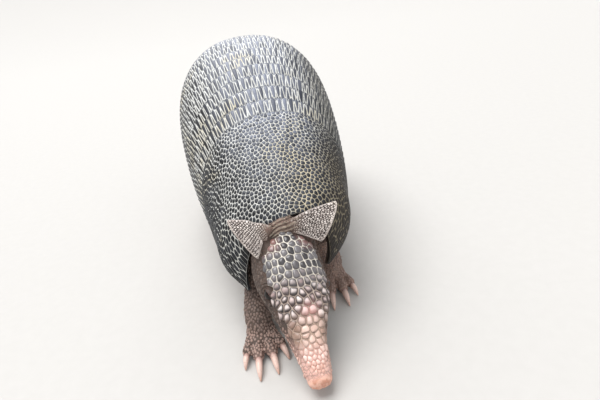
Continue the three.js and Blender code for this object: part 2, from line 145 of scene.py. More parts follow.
def meshObject(name, points, faces, values=None):
    mesh = bpy.data.meshes.new(name)
    mesh.from_pydata(((np.asarray(points) + shift) * 0.001).tolist(), [], faces)
    for key, column in (values or {}).items():
        setValues(mesh, key, column)
    mesh.validate()
    mesh.shade_smooth()
    made = bpy.data.objects.new(name, mesh)
    bpy.context.scene.collection.objects.link(made)
    return made


def facesOut(made):
    work = bmesh.new()
    work.from_mesh(made.data)
    bmesh.ops.recalc_face_normals(work, faces=work.faces)
    work.to_mesh(made.data)
    work.free()


def readAll(items, key, width, kind=np.float32):
    flat = np.empty(len(items) * width, kind)
    items.foreach_get(key, flat)
    return flat.reshape(-1, width)


def placesOf(made):
    return readAll(made.data.vertices, "co", 3).astype(float) * 1000 - shift


def normalsOf(made):
    return readAll(made.data.vertex_normals, "vector", 3).astype(float)


# Scutes: flat cells laid on a patch, each raised from a web of skin, on a closed plate

def clipped(polygon, mx, my, nx, ny):
    # What lies behind the line through (mx, my) that faces (nx, ny)
    kept = []
    sides = [(x - mx) * nx + (y - my) * ny for x, y in polygon]
    for k, (x, y) in enumerate(polygon):
        before = k - 1
        if (sides[before] < 0) != (sides[k] < 0):
            share = sides[before] / (sides[before] - sides[k])
            px, py = polygon[before]
            kept.append((px + (x - px) * share, py + (y - py) * share))
        if sides[k] < 0:
            kept.append((x, y))
    return kept


def centroid(rim):
    # A polygon's middle, and twice its area
    turned = np.roll(rim, -1, axis=0)
    cross = rim[:, 0] * turned[:, 1] - turned[:, 0] * rim[:, 1]
    return ((rim + turned) * cross[:, None]).sum(axis=0) / (3 * cross.sum()), cross.sum()


def cellsOf(seeds, ghosts, stretch=1.0, reach=12.0, neighbours=18):
    # The cell of each seed: all that is nearer to it than to any other seed or ghost
    flat = np.array(list(seeds) + list(ghosts), float)
    flat[:, 1] /= stretch
    tree = kdtree.KDTree(len(flat))
    for n, (x, y) in enumerate(flat):
        tree.insert((x, y, 0), n)
    tree.balance()
    square = ((-reach, -reach), (reach, -reach), (reach, reach), (-reach, reach))
    cells = []
    for sx, sy in flat[: len(seeds)]:
        polygon = [(sx + x, sy + y) for x, y in square]
        for _, other, distance in tree.find_n((sx, sy, 0), neighbours)[1:]:
            far = max(math.hypot(x - sx, y - sy) for x, y in polygon)
            if distance > 2 * far:
                break
            ox, oy = flat[other]
            polygon = clipped(polygon, (sx + ox) / 2, (sy + oy) / 2, ox - sx, oy - sy)
            if len(polygon) < 3:
                break
        cells.append([(x, y * stretch) for x, y in polygon])
    return cells


def mirrored(seeds, box, margin=9):
    # Mirror images of the seeds near the box's sides, which make the cells end there
    left, right, low, high = box
    ghosts = []
    for x, y in seeds:
        if left(y) - x < margin:
            ghosts.append((2 * float(left(y)) - x, y))
        if x - right(y) < margin:
            ghosts.append((2 * float(right(y)) - x, y))
        if y - low < margin:
            ghosts.append((x, 2 * low - y))
        if high - y < margin:
            ghosts.append((x, 2 * high - y))
    return ghosts


def relaxed(seeds, box, rounds, stretch):
    # Seeds moved to the middles of their cells, which evens them out, and their mirror images
    for _ in range(rounds):
        cells = cellsOf(seeds, mirrored(seeds, box), stretch)
        seeds = [tuple(centroid(np.array(cell))[0]) for cell in cells]
    return seeds, mirrored(seeds, box)


def strewnSeeds(patch, yFrom, yTo, look, seed, tries=26000):
    # Seeds strewn at random, no nearer to each other than a distance that grows towards the sides
    dice = np.random.default_rng(seed)
    y, share = dice.uniform(yFrom, yTo, tries), dice.uniform(-1, 1, tries)
    x = np.where(share > 0, share * patch.left(y), -share * patch.right(y))
    room = look["apart"] * (1 + look["coarser"] * smooth(0.4, 0.9, np.abs(share)))
    bucket = look["apart"] * (1 + look["coarser"])
    taken, seeds = {}, []
    for px, py, apart in zip(x.tolist(), y.tolist(), room.tolist()):
        column, row = int(px // bucket), int(py // bucket)
        near = [q for i in (-1, 0, 1) for j in (-1, 0, 1) for q in taken.get((column + i, row + j), ())]
        if all((px - qx) ** 2 + (py - qy) ** 2 > apart**2 for qx, qy in near):
            taken.setdefault((column, row), []).append((px, py))
            seeds.append((px, py))
    return relaxed(seeds, (patch.left, patch.right, yFrom, yTo), 2, look["stretch"])


def rowSeeds(patch, yFrom, yTo, across, along, jitter, dice):
    # Rows of seeds over the patch, every other row set half a step aside, with their mirror images outside
    rows = []
    y = yFrom
    while y < yTo - 0.3 * along(y):
        rows.append((y, along(y)))
        y += along(y)
    scale = (yTo - yFrom) / (y - yFrom)
    seeds, ghosts = [], []
    for r, (start, step) in enumerate(rows):
        low, high = yFrom + (start - yFrom) * scale, yFrom + (start + step - yFrom) * scale
        centre = (low + high) / 2
        x0, x1 = float(patch.right(centre)), float(patch.left(centre))
        count = max(2, 2 * round((x1 - x0) / across(centre) / 2))
        wide = (x1 - x0) / count
        places = [x0 + wide * (k + 0.5) for k in range(count)]
        if r % 2:
            places = [x0 + wide * (k + 1) for k in range(count - 1)]
        row = []
        for place in places:
            x = place + dice.uniform(-jitter, jitter) * wide
            row.append((x, centre + dice.uniform(-jitter, jitter) * (high - low)))
        seeds += row
        ghosts += [(2 * x0 - row[0][0], row[0][1]), (2 * x1 - row[-1][0], row[-1][1])]
        if r < 2:
            ghosts += [(x, 2 * yFrom - y) for x, y in row]
        if r > len(rows) - 3:
            ghosts += [(x, 2 * yTo - y) for x, y in row]
    return seeds, ghosts


def cellSides(cell, centre, seams):
    # The ways that a cell's sides face, how far they are from its centre, and which of them lie on a seam
    corner = np.array(cell)
    side = np.roll(corner, -1, axis=0) - corner
    long = np.linalg.norm(side, axis=1) > 0.05
    side, corner = side[long], corner[long]
    outward = unit(np.stack([side[:, 1], -side[:, 0]], axis=1))
    reach = ((corner - centre) * outward).sum(axis=1)
    if reach.mean() < 0:
        outward, reach = -outward, -reach
    onSeam = np.zeros(len(corner), bool)
    for seam in seams:
        onSeam |= np.abs(corner[:, 1] + side[:, 1] / 2 - seam) < 0.02
    return outward, reach, onSeam


class Scutes:
    # A plate as it grows cell by cell: points (x, y, height) on a patch, tags (rise, shade, side) and faces
    def __init__(self, look, dice):
        self.look, self.dice = look, dice
        self.points, self.tags, self.faces = [], [], []
        self.known, self.edges = {}, {}

    def add(self, point, tag):
        self.points.append(point)
        self.tags.append(tag)
        return len(self.points) - 1

    def borderPoint(self, x, y):
        # A point that neighbouring cells share, followed by its twin on the underside
        key = (round(x * 400), round(y * 400))
        if key not in self.known:
            self.known[key] = self.add((x, y, self.look["web"]), (0, 0.3, 0))
            self.add((x, y, -self.look["thickness"]), (0.1, 0.2, -2))
        return self.known[key]

    def outline(self, cell):
        # Each side is divided from its lower end, so that the cell across it gets the same points
        loop = []
        for a, b in zip(cell, cell[1:] + cell[:1]):
            (ax, ay), (bx, by) = sorted((a, b))
            pieces = max(1, math.ceil(math.hypot(bx - ax, by - ay) / self.look["step"]))
            shares = [m / pieces for m in range(pieces + 1)]
            line = [self.borderPoint(ax + (bx - ax) * t, ay + (by - ay) * t) for t in shares]
            loop += (line[::-1] if a > b else line)[:-1]
        return [i for k, i in enumerate(loop) if i != loop[k - 1]]

    def addCell(self, cell, full, soften, seams):
        # Rings of points that close in on the cell's middle, each rounder and higher than the last
        look, dice = self.look, self.dice
        shade = dice.random()
        loop = self.outline(cell)
        if len(set(loop)) != len(loop) or len(loop) < 3:
            return
        for a, b in zip(loop[-1:] + loop[:-1], loop):
            self.edges.setdefault((min(a, b), max(a, b)), []).append((a, b))
        self.faces.append([i + 1 for i in reversed(loop)])
        rim = np.array([self.points[i][:2] for i in loop])
        centre, area = centroid(rim)
        outward, reach, onSeam = cellSides(cell, centre, seams)
        ray = unit(rim - centre)
        facing = np.maximum(ray @ outward.T, 1e-4)
        size = math.sqrt(abs(area) / 2 / math.pi)
        halfLength = max(np.abs(rim[:, 1] - centre[1]).max(), 1e-6)
        spare = dice.uniform(*look["vary"])
        share = min(1, size / look["size"]) * (soften(centre[1]) if soften else 1)
        for inset, sharp, height, rise in look["rings"]:
            room = np.maximum(reach - inset * spare * np.where(onSeam, look["seamInset"], 1), 0.12 * reach)
            far = ((facing / room) ** sharp).sum(axis=1) ** (-1 / sharp)
            tall = height * share + (dice.uniform(-1, 1) * look["uneven"] if rise > 0.5 else 0)
            ring = []
            for (ex, ey), d in zip(ray, far):
                x, y = centre[0] + ex * d, centre[1] + ey * d
                lower = (y - centre[1]) / halfLength
                ring.append(self.add((x, y, tall + look["tilt"] * lower * rise), (rise * full, shade, lower)))
            self.faces += [[loop[k - 1], loop[k], ring[k], ring[k - 1]] for k in range(len(ring))]
            loop = ring
        top = self.add((centre[0], centre[1], look["crown"] * share), (full, shade, 0))
        self.faces += [[loop[k - 1], loop[k], top] for k in range(len(loop))]

    def closeSides(self):
        # Walls down to the underside, along the edges that only one cell has
        for uses in self.edges.values():
            if len(uses) == 1:
                a, b = uses[0]
                self.faces.append([b, a, a + 1, b + 1])
                self.tags[a] = self.tags[b] = (self.look["edge"], 0.4, 0)


def scuteObject(name, patch, cells, look, lift=None, soften=None, seams=()):
    # A closed plate of scutes. Its seams are the lengths y where it meets the next plate
    scutes = Scutes(look, random.Random(name))
    for n, cell in enumerate(cells):
        scutes.addCell(cell, look.get("between", 1) if n % 2 else 1, soften, seams)
    scutes.closeSides()
    x, y, height = np.array(scutes.points).T
    rise, shade, side = np.array(scutes.tags).T
    places = patch.place(x, y, height + (lift(x, y) if lift else 0))
    places[:, 2] = np.maximum(places[:, 2], 0)
    reach = np.where(x > 0, patch.left(y), -patch.right(y))
    made = meshObject(name, places, scutes.faces, {
        "rise": rise, "shade": shade, "side": side,
        "along": patch.rowOf(y), "around": x / np.maximum(reach, 1e-6),
    })
    facesOut(made)
    return made


# Shader maths: a wrapped socket takes part in plain expressions

class Value:
    def __init__(self, tree, socket=None):
        self.tree, self.socket = tree, socket

    def node(self, kind, settings=None, inputs=None, output=0):
        # Any node: its settings come first, then its inputs, each a number, a colour or another Value
        made = self.tree.nodes.new(kind)
        for key, value in (settings or {}).items():
            setattr(made, key, value)
        for key, value in (inputs or {}).items():
            if isinstance(value, Value):
                self.tree.links.new(value.socket, made.inputs[key])
            else:
                made.inputs[key].default_value = value
        return Value(self.tree, made.outputs[output]) if made.outputs else None

    def maths(self, operation, *values):
        return self.node("ShaderNodeMath", {"operation": operation}, dict(enumerate(values)))

    def __add__(self, other):
        return self.maths("ADD", self, other)

    def __radd__(self, other):
        return self.maths("ADD", other, self)

    def __sub__(self, other):
        return self.maths("SUBTRACT", self, other)

    def __rsub__(self, other):
        return self.maths("SUBTRACT", other, self)

    def __mul__(self, other):
        return self.maths("MULTIPLY", self, other)

    def __rmul__(self, other):
        return self.maths("MULTIPLY", other, self)

    def ramp(self, low, high, start=0.0, end=1.0):
        # From start at low to end at high, eased
        limits = {"Value": self, "From Min": low, "From Max": high, "To Min": start, "To Max": end}
        return self.node("ShaderNodeMapRange", {"interpolation_type": "SMOOTHSTEP"}, limits)

    def attribute(self, name):
        return self.node("ShaderNodeAttribute", {"attribute_name": name}, output=2)

    def attributes(self, *names):
        return [self.attribute(name) for name in names]

    def place(self):
        return self.node("ShaderNodeTexCoord", output=3)

    def noise(self, size, detail, rough=0.55):
        # Spots about so many millimetres across
        inputs = {"Vector": self.place(), "Scale": 1000 / size, "Detail": detail, "Roughness": rough}
        return self.node("ShaderNodeTexNoise", None, inputs)

    def cells(self, size, feature):
        inputs = {"Vector": self.place(), "Scale": 1000 / size}
        return self.node("ShaderNodeTexVoronoi", {"feature": feature}, inputs)

    def mix(self, share, first, second):
        return self.node("ShaderNodeMix", {"data_type": "RGBA"}, {0: share, 6: first, 7: second}, 2)


def color(red, green, blue):
    # From a colour's usual 0 to 255 numbers to the linear ones that shaders take
    channels = [c / 255 for c in (red, green, blue)]
    linear = [c / 12.92 if c <= 0.04045 else ((c + 0.055) / 1.055) ** 2.4 for c in channels]
    return (*linear, 1)


def finish(name):
    # A new material, and the start of the expressions that fill it
    material = bpy.data.materials.new(name)
    material.use_nodes = True
    material.node_tree.nodes.clear()
    return material, Value(material.node_tree)


def surface(material, base, rough, height, bumpDepth, bumpStrength, more=None):
    # Colour, roughness and height may change over a surface; the values in more are the same all over
    tree = Value(material.node_tree)
    bump = {"Height": height, "Distance": bumpDepth, "Strength": bumpStrength}
    inputs = {"Base Color": base, "Roughness": rough, "Normal": tree.node("ShaderNodeBump", None, bump)}
    shader = tree.node("ShaderNodeBsdfPrincipled", None, {**inputs, **(more or {})})
    tree.node("ShaderNodeOutputMaterial", None, {"Surface": shader})
    return material


# Carapace

# From front to rear: the middle of the back, half the width, the lower rims and the roll in degrees
carapace = {
    "at": [0, 0.05, 0.14, 0.28, 0.45, 0.62, 0.78, 0.91, 1],
    "ridgeX": [1.5, 2, 2.2, 1.5, -1.5, -3, -3, -2, -1],
    "ridgeY": [-128, -117, -90, -53, 0, 62, 118, 160, 184],
    "ridgeZ": [91.5, 99.5, 119, 145, 179, 194, 175, 143, 110],
    "half": [33, 47, 54.2, 61.5, 71.5, 78, 78.5, 65, 34],
    "rimX": [33, 36.5, 47.5, 57.5, 66.5, 72, 71, 57, 27],
    "rimY": [-128, -117, -91, -60, -5, 55, 110, 150, 177],
    "rimZ": [39, 38.5, 42, 49, 54, 55, 58, 67, 86],
    "roll": [7, 5.5, 3.5, 1.5, 0.5, 0, 0, 0, 0],
    "squareness": 2.25,
    "frontTo": 0.28,  # where the front shield ends, as a share of the whole
    "bands": 9,
    "rearFrom": 0.62,
    "halfGap": 0.25,  # half the gap between neighbouring plates
    "rearApart": 2.85,  # between the rear shield's scutes
    "edgeDrop": 1.3,  # how far the shell turns down at its free edges
    "edgeWide": 4.0,
    "bandSink": 0.9,  # how low a band's front edge lies, and how much higher its rear edge
    "bandRise": 1.3,
}


def archPoint(v, s):
    # From the front, where v is 0, to the rear, where it is 1; s runs from -1 at one rim to 1 at the other
    keys = ("ridgeX", "ridgeY", "ridgeZ", "half", "rimX", "rimY", "rimZ", "roll")
    value = {key: through(carapace["at"], carapace[key], v) for key in keys}
    power = 2 / carapace["squareness"]
    rimAngle = np.pi - np.arcsin(np.minimum(value["rimX"] / value["half"], 1) ** (1 / power))
    tall = value["ridgeZ"] - value["rimZ"]
    height = tall / (1 + np.abs(np.cos(rimAngle)) ** power)
    angle = np.abs(s) * rimAngle
    z = value["ridgeZ"] - height + height * bend(np.cos(angle), power)
    share = (value["ridgeZ"] - z) / tall
    x = np.sign(s) * value["half"] * bend(np.sin(angle), power)
    roll = np.radians(value["roll"])
    return np.stack([
        value["ridgeX"] + x * np.cos(roll) + (z - value["ridgeZ"]) * np.sin(roll),
        value["ridgeY"] + (value["rimY"] - value["ridgeY"]) * share,
        value["ridgeZ"] + (z - value["ridgeZ"]) * np.cos(roll) + x * np.sin(roll),
    ], axis=-1)


shell = Patch(archPoint, np.linspace(0, 1, 401))

shieldLook = {
    "apart": 2.45,  # the least distance between seeds along the middle
    "coarser": 0.5,  # how much greater it is at the sides
    "stretch": 1.12,  # how much longer than wide the cells are
    "vary": (0.7, 1.5),  # of the insets, from scute to scute
    "tilt": 0.0,  # how much a scute rises lengthwise
    "thickness": 3.6,
    "web": -0.12,  # the height of the skin between scutes
    "crown": 0.42,  # the height of a scute's middle
    "uneven": 0.06,
    "size": 2.0,  # the radius from which a scute has its full height
    "step": 1.25,  # the longest edge of the mesh round a cell
    "edge": 0.8,  # how horny the plate's free edge looks
    "seamInset": 0.3,  # the share of the insets left beside the next plate
    # Rings: inset from the cell's sides, how sharp its corners are, height, and how far up the scute it is
    "rings": [(0.17, 12, -0.12, 0.1), (0.32, 6, 0.2, 0.7), (0.85, 4.5, 0.38, 0.9)],
}
bandLook = dict(
    shieldLook, across=4.8, gapFront=0.33, gapRear=0.07, shift=0.36, wavy=0.13, between=0.68,
    web=-0.15, step=1.9, edge=0.9, seamInset=0.1,
    rings=[(0.17, 14, -0.15, 0.1), (0.4, 8, 0.22, 0.7), (0.9, 6, 0.36, 0.9)],
)


def shieldMaterial():
    material, v = finish("scuteHorn")
    rise, shade, side, front, around = v.attributes("rise", "shade", "side", "along", "around")
    fine, broad, patchy = v.noise(1.1, 4), v.noise(38, 3, 0.6), v.noise(14, 3, 0.6)
    aside = v.maths("ABSOLUTE", around)
    # Towards the front the horn fills more of each cell, which darkens the front of the shell as painted
    # shade
    tile = v.maths("MAXIMUM", rise.ramp(0.1, 0.62), rise.ramp(0.03, 0.46) * front.ramp(0.36, 0.22))
    # Painted sheen: the horn turns a lighter lavender grey along the middle of the back, fading towards the
    # front and the sides
    paintedSheen = aside.ramp(0.42, 0.06) * front.ramp(0.04, 0.32, 0.15, 1)
    # Towards the front of the animal's left flank the horn and the web turn darker and browner: partly earth,
    # partly painted shade
    earthAndShade = around.ramp(0.2, 0.5) * front.ramp(0.34, 0.12)
    horn = v.mix(shade, color(13, 14, 17), color(46, 49, 55))
    horn = v.mix(paintedSheen * 0.85, horn, v.mix(shade, color(80, 85, 99), color(144, 150, 167)))
    horn = v.mix(patchy.ramp(0.5, 0.75, 0, 0.4) * front.ramp(0.1, 0.3, 0.3, 1), horn, color(92, 95, 102))
    horn = v.mix(fine.ramp(0.45, 0.8, 0, 0.3), horn, color(16, 17, 19))
    horn = v.mix(earthAndShade * 0.8, horn, color(42, 35, 28))
    web = v.mix(fine, color(250, 252, 252), color(216, 217, 212))
    # Painted shade: the web greys towards the front
    web = v.mix(front.ramp(0.3, 0.12, 0, 0.25), web, color(176, 174, 160))
    web = v.mix(front.ramp(0.24, 0.08) * around.ramp(-0.15, 0.2) * 0.7, web, color(206, 188, 146))
    web = v.mix(v.noise(3.4, 2).ramp(0.42, 0.62, 0.35, 0), web, color(150, 146, 136))
    web = v.mix(broad.ramp(0.5, 0.72, 0, 0.6), web, color(220, 208, 172))
    web = v.mix(earthAndShade * 0.85, web, color(128, 116, 92))
    # Painted shade: the web darkens towards the animal's left flank
    web = v.mix(around.ramp(0.14, 0.42, 0, 0.55), web, color(126, 120, 106))
    under = v.mix(fine, color(112, 96, 84), color(80, 68, 62))
    base = v.mix(side.ramp(-1.1, -1.6), v.mix(tile, web, horn), under)
    rough = tile.ramp(0, 1, 0.7, 0.34) + fine * 0.12
    height = fine * 0.5 + v.noise(0.45, 2) * 0.5
    return surface(material, base, rough, height, 0.00022, 0.7, {"Specular IOR Level": 0.32})


def bandStrips(yFrom, yTo, dice):
    # Wedges, broad behind and narrow in front, with others the opposite way round between them.
    # The gaps at the front and rear are shares of a wedge's width, and so are the random shifts
    lines = [(y, float(shell.right(y)), float(shell.left(y))) for y in (yFrom, (yFrom + yTo) / 2, yTo)]
    count = round((lines[1][2] - lines[1][1]) / bandLook["across"])
    ends = [[0.0], [0.0]]
    for k in range(count):
        for row, gap in zip(ends, (bandLook["gapFront"], bandLook["gapRear"])):
            for edge in ((k + gap) / count, (k + 1 - gap) / count):
                row.append(edge + dice.uniform(-1, 1) * bandLook["shift"] * (gap + 0.06) / count)
    for row in ends:
        row[1], row[-1] = 0.0, 1.0
    wavy = [(a + b) / 2 + dice.uniform(-1, 1) * bandLook["wavy"] / count for a, b in zip(*ends)]
    wavy[1], wavy[-1] = 0.0, 1.0
    front, middle, rear = [
        [(low + (high - low) * share, y) for share in shares]
        for shares, (y, low, high) in zip((ends[0], wavy, ends[1]), lines)
    ]
    return [
        [front[k], front[k + 1], middle[k + 1], rear[k + 1], rear[k], middle[k]]
        for k in range(1, len(wavy) - 1)
    ]


horn = shieldMaterial()
frontEnd = shell.yOf(carapace["frontTo"])
rearStart = shell.yOf(carapace["rearFrom"])
rearEnd = float(shell.y[-1])
bandWidth = (rearStart - frontEnd) / carapace["bands"]


def edgeDrop(x, y):
    # The shell turns down towards its free edges
    aside = np.where(x > 0, shell.left(y) - x, x - shell.right(y))
    inside = np.minimum(aside, np.minimum(y, rearEnd - y))
    return -carapace["edgeDrop"] * (1 - smooth(-0.5, carapace["edgeWide"], inside))


def makeShield(name, node, yFrom, yTo, seam, look, seed):
    seeds, ghosts = strewnSeeds(shell, yFrom, yTo, look, seed)
    piece = scuteObject(name, shell, cellsOf(seeds, ghosts, look["stretch"]), look, edgeDrop, seams=[seam])
    piece.data.materials.append(horn)
    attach(piece, "root")
    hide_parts(node)


def makeBand(n, dice):
    # A band rises from its front edge to its rear edge, which stands above the next band's front edge
    low = frontEnd + bandWidth * n + carapace["halfGap"]
    high = frontEnd + bandWidth * (n + 1) - carapace["halfGap"]

    def lift(x, y):
        share = np.clip((y - low) / (high - low), 0, 1)
        return edgeDrop(x, y) - carapace["bandSink"] + carapace["bandRise"] * share

    look = dict(bandLook, edge=bandLook["edge"] - 0.05 * n, seamInset=bandLook["seamInset"] + 0.05 * n)
    band = scuteObject(f"band{n + 1}", shell, bandStrips(low, high, dice), look, lift, seams=(low, high))
    band.data.materials.append(horn)
    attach(band, "root")
    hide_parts(f"band_{n + 1}")


frontSeam, rearSeam = frontEnd - carapace["halfGap"], rearStart + carapace["halfGap"]
makeShield("scapularShield", "scapular_shield", 0.0, frontSeam, frontSeam, shieldLook, 11)
rearLook = dict(shieldLook, apart=carapace["rearApart"])
makeShield("pelvicShield", "pelvic_shield", rearSeam, rearEnd, rearSeam, rearLook, 12)
dice = random.Random(11)
for n in range(carapace["bands"]):
    makeBand(n, dice)

# Head shield

# From nape to nose: half the width, how far the head bows aside, and its top and underside
head = {
    "at": [0, 0.14, 0.3, 0.45, 0.6, 0.76, 0.88, 0.96, 1],
    "half": [20, 24.5, 25, 22, 16.4, 11.5, 9.6, 8.2, 6.3],
    "bowAt": [0, 0.3, 0.5, 0.62, 0.72, 0.85, 1],
    "bow": [0, 1.0, 2.2, 1.4, 0.5, 0.9, 0.7],
    "top": [-2, 1.5, 1.5, 0, -2.5, -5, -6.6, -7.2, -8.5],
    "bottom": [-40, -44, -42, -36, -29, -23, -20.5, -19.5, -17.5],
    "squareness": 2.3,
    "middle": (0.45, 0.55),
    "length": 106.0,
    "nape": (-2.6, -127.6, 81.8),
    "pitchDown": 37.0,
    "turnLeft": 3.4,
    "rollRight": 9.0,
}


def headAxes():
    # The ways forward along the head, to its left and up from its crown
    pitch, turn, roll = (math.radians(head[key]) for key in ("pitchDown", "turnLeft", "rollRight"))
    level = np.array([math.cos(turn), math.sin(turn), 0])
    ahead = np.array([math.sin(turn), -math.cos(turn), 0])
    forward = ahead * math.cos(pitch) - np.array([0, 0, math.sin(pitch)])
    upright = np.cross(forward, level)
    if upright[2] < 0:
        upright = -upright
    left = level * math.cos(roll) - upright * math.sin(roll)
    return forward, left, level * math.sin(roll) + upright * math.cos(roll)


forward, leftward, upward = headAxes()


def headPlace(along, left, up):
    # A place given by how far along the head it is, to its left and up from its crown
    along, left, up = np.broadcast_arrays(along, left, up)
    left = left + through(head["bowAt"], head["bow"], np.clip(along, 0, 1))
    return (np.array(head["nape"]) + along[..., None] * head["length"] * forward
            + left[..., None] * leftward + up[..., None] * upward)


def headCoordinates(places):
    # The other way round: how far along the head, to its left and up from its crown the places are
    away = places - np.array(head["nape"])
    along = away @ forward / head["length"]
    return along, away @ leftward - through(head["bowAt"], head["bow"], np.clip(along, 0, 1)), away @ upward


def headSection(u):
    # Half the head's width there, and how high its top, underside and middle are
    half, top, bottom = (through(head["at"], head[key], u) for key in ("half", "top", "bottom"))
    return half, top, bottom, top * head["middle"][0] + bottom * head["middle"][1]


def headPoint(u, s, depth=0.0):
    # From the nape, where u is 0, to the nose; s runs round it from the crown, to 1 or -1 under the chin
    half, top, bottom, middle = headSection(u)
    power = 2 / head["squareness"]
    angle = s * np.pi
    reach = np.where(np.cos(angle) > 0, top - middle, middle - bottom)
    side = (half - depth) * bend(np.sin(angle), power)
    return headPlace(u, side, middle + (reach - depth) * bend(np.cos(angle), power))


plate = {
    "from": -0.005,
    "to": 0.95,
    "halfTurnAt": [0, 0.25, 0.6, 1],
    "halfTurn": [0.22, 0.292, 0.3, 0.28],
    "cheekTurn": 0.4,
    "acrossAt": [0.0, 0.2, 0.42, 0.6, 0.72, 0.8, 0.9],
    "across": [5.8, 5.2, 4.9, 5.0, 4.7, 3.0, 2.5],
    "alongAt": [0.0, 0.12, 0.2, 0.35, 0.46, 0.58, 0.67, 0.75, 0.8, 0.9],
    "along": [6.2, 5.0, 5.0, 6.2, 7.2, 6.3, 5.2, 4.4, 3.0, 2.5],
    "stretch": 1.1,
    "jitter": 0.36,
    "chevron": 0.5,
    "pinkAt": (0.57, 0.02),
    "vary": (0.6, 1.6),
    "tilt": 0.35,
    "thickness": 1.5,
    "web": -0.25,
    "crown": 1.0,
    "uneven": 0.1,
    "size": 2.3,
    "step": 0.75,
    "edge": 0.3,
    "seamInset": 1,
    "rings": [(0.15, 14, -0.3, 0.1), (0.32, 7, 0.2, 0.5), (0.7, 5, 0.58, 0.72), (1.35, 3.6, 0.86, 0.88)],
}


def plateTurn(u):
    return through(plate["halfTurnAt"], plate["halfTurn"], u)


def scutedTurn(u):
    # How far round the head the scutes reach: to the shield's edge at first, then down the cheeks
    return plateTurn(u) + (plate["cheekTurn"] - plateTurn(u)) * smooth(0.26, 0.42, u)


def plateFront(turn):
    # Where the scutes end on the snout: rounded, further back at the sides
    return plate["to"] - 0.01 - 0.1 * np.clip(np.abs(turn) / 0.3, 0, 1.3) ** 2


def plateRear(turn):
    # Where the shield starts behind: further forward towards its sides
    return plate["from"] + 0.115 * np.clip(np.abs(turn) / 0.22, 0, 1.3) ** 1.3


eye = {
    "along": 0.39,
    "out": 19.0,
    "down": 12.6,
    "radius": 4.5,
    "front": 4.0,
    "lidLong": 4.3,
    "lidTall": 2.7,
    "slant": 0.12,
}


def eyeFrame(side):
    # The eyeball's middle, the way it looks, and the ways along and up the head there
    centre = headPlace(eye["along"], side * eye["out"], -eye["down"])
    s = np.linspace(0.1, 0.6, 200) * side
    row = headPoint(np.full(200, eye["along"]), s)
    nearest = s[np.argmin(np.linalg.norm(row - centre - side * leftward * 3 - upward * 1.2, axis=1))]
    u = eye["along"]
    alongHead = headPoint(u + 0.01, nearest) - headPoint(u - 0.01, nearest)
    aroundHead = headPoint(u, nearest + 0.01 * side) - headPoint(u, nearest - 0.01 * side)
    out = unit(np.cross(alongHead, aroundHead))
    if out @ (centre - headPlace(u, 0, -15)) < 0:
        out = -out
    ahead = unit(alongHead - out * (alongHead @ out))
    above = np.cross(out, ahead)
    if above @ upward < 0:
        above = -above
    return centre, out, ahead, above


eyes = {"right": eyeFrame(-1), "left": eyeFrame(1)}


def eyeDistance(places):
    # How far each place is from the front of the nearer eye
    fronts = [centre + out * eye["front"] for centre, out, _, _ in eyes.values()]
    return np.minimum(*[np.linalg.norm(places - front, axis=1) for front in fronts])


crown = Patch(lambda u, s: headPoint(u, 0.5 * s), np.linspace(plate["from"], plate["to"], 241),
              away=headPlace(0.5, 0, -20))


def headAcross(y):
    return float(np.interp(crown.rowOf(y), plate["acrossAt"], plate["across"]))


def headAlong(y):
    return float(np.interp(crown.rowOf(y), plate["alongAt"], plate["along"]))


def chevron(y):
    # How far the rows of scutes bend back into chevrons there, on the bridge of the snout
    u = crown.rowOf(y)
    return float(smooth(0.36, 0.66, u) * (1 - smooth(0.7, 0.9, u)))


def headMaterial():
    material, v = finish("headHorn")
    rise, shade, lower, along, around = v.attributes("rise", "shade", "side", "along", "around")
    fine, patchy = v.noise(0.9, 4), v.noise(9, 3, 0.6)
    uneven = (patchy - 0.5) * 0.14
    toSnout, toBare = (along + uneven).ramp(0.28, 0.48), (along + uneven).ramp(0.54, 0.66)
    toTip = (along + uneven * 0.8).ramp(0.71, 0.82)
    toEnd = (along + uneven * 0.6).ramp(0.82, 0.93, 0, 0.85)
    dark = v.mix(shade, color(52, 50, 53), color(122, 119, 122))
    rosy = along.ramp(0.2, 0.1) * v.maths("ABSOLUTE", around).ramp(0.1, 0.3)
    dark = v.mix(rosy * 0.8, dark, v.mix(shade, color(168, 122, 114), color(128, 88, 82)))
    # Towards the snout each scute gets a painted highlight on its middle and upper part; its rim stays dark,
    # darkest at the lower edge where the highlight fades, as painted shade
    centre = v.mix(shade, color(255, 243, 239), color(190, 162, 158))
    rim = v.mix(shade, color(40, 30, 31), color(78, 60, 58))
    paintedHighlight = rise.ramp(0.6, 0.95) * (1 - lower.ramp(-0.25, 0.5))
    horn = v.mix(toSnout * paintedHighlight, v.mix(toSnout, dark, rim), centre)
    horn = v.mix(v.attribute("pink") * 0.75, horn, v.mix(paintedHighlight, color(206, 146, 140), color(246, 204, 198)))
    shadow = v.maths("MAXIMUM", lower.ramp(0.3, 0.8), rise.ramp(0.7, 0.4))
    flat = v.mix(shade, color(242, 210, 196), color(204, 168, 152))
    flat = v.mix(v.maths("ABSOLUTE", around - 0.04).ramp(0.16, 0.5, 0, 0.85), flat, color(132, 104, 88))
    flat = v.mix(shadow * 0.9, flat, color(82, 60, 49))
    horn = v.mix(toBare, horn, flat)
    horn = v.mix(toTip, horn, v.mix(shade, color(243, 217, 207), color(222, 180, 168)))
    web = v.mix(fine, color(250, 246, 236), color(214, 204, 190))
    web = v.mix(toSnout * 0.8, web, v.mix(fine, color(150, 126, 114), color(196, 172, 158)))
    web = v.mix(toBare, web, v.mix(fine, color(212, 186, 168), color(158, 128, 110)))
    web = v.mix(toTip, web, v.mix(fine, color(206, 158, 146), color(226, 182, 170)))
    base = v.mix(rise.ramp(0.1, 0.5), web, horn)
    base = v.mix(toEnd, base, v.mix(patchy, color(232, 184, 166), color(210, 158, 140)))
    base = v.mix(fine.ramp(0.5, 0.8, 0, 0.3) * (1 - toTip * 0.7), base, color(70, 58, 54))
    rough = rise.ramp(0.1, 0.6, 0.65, 0.24) + fine * 0.12
    height = fine * 0.6 + v.noise(0.4, 2) * 0.4
    return surface(material, base, rough, height, 0.00014, 0.6, {"Specular IOR Level": 0.75})


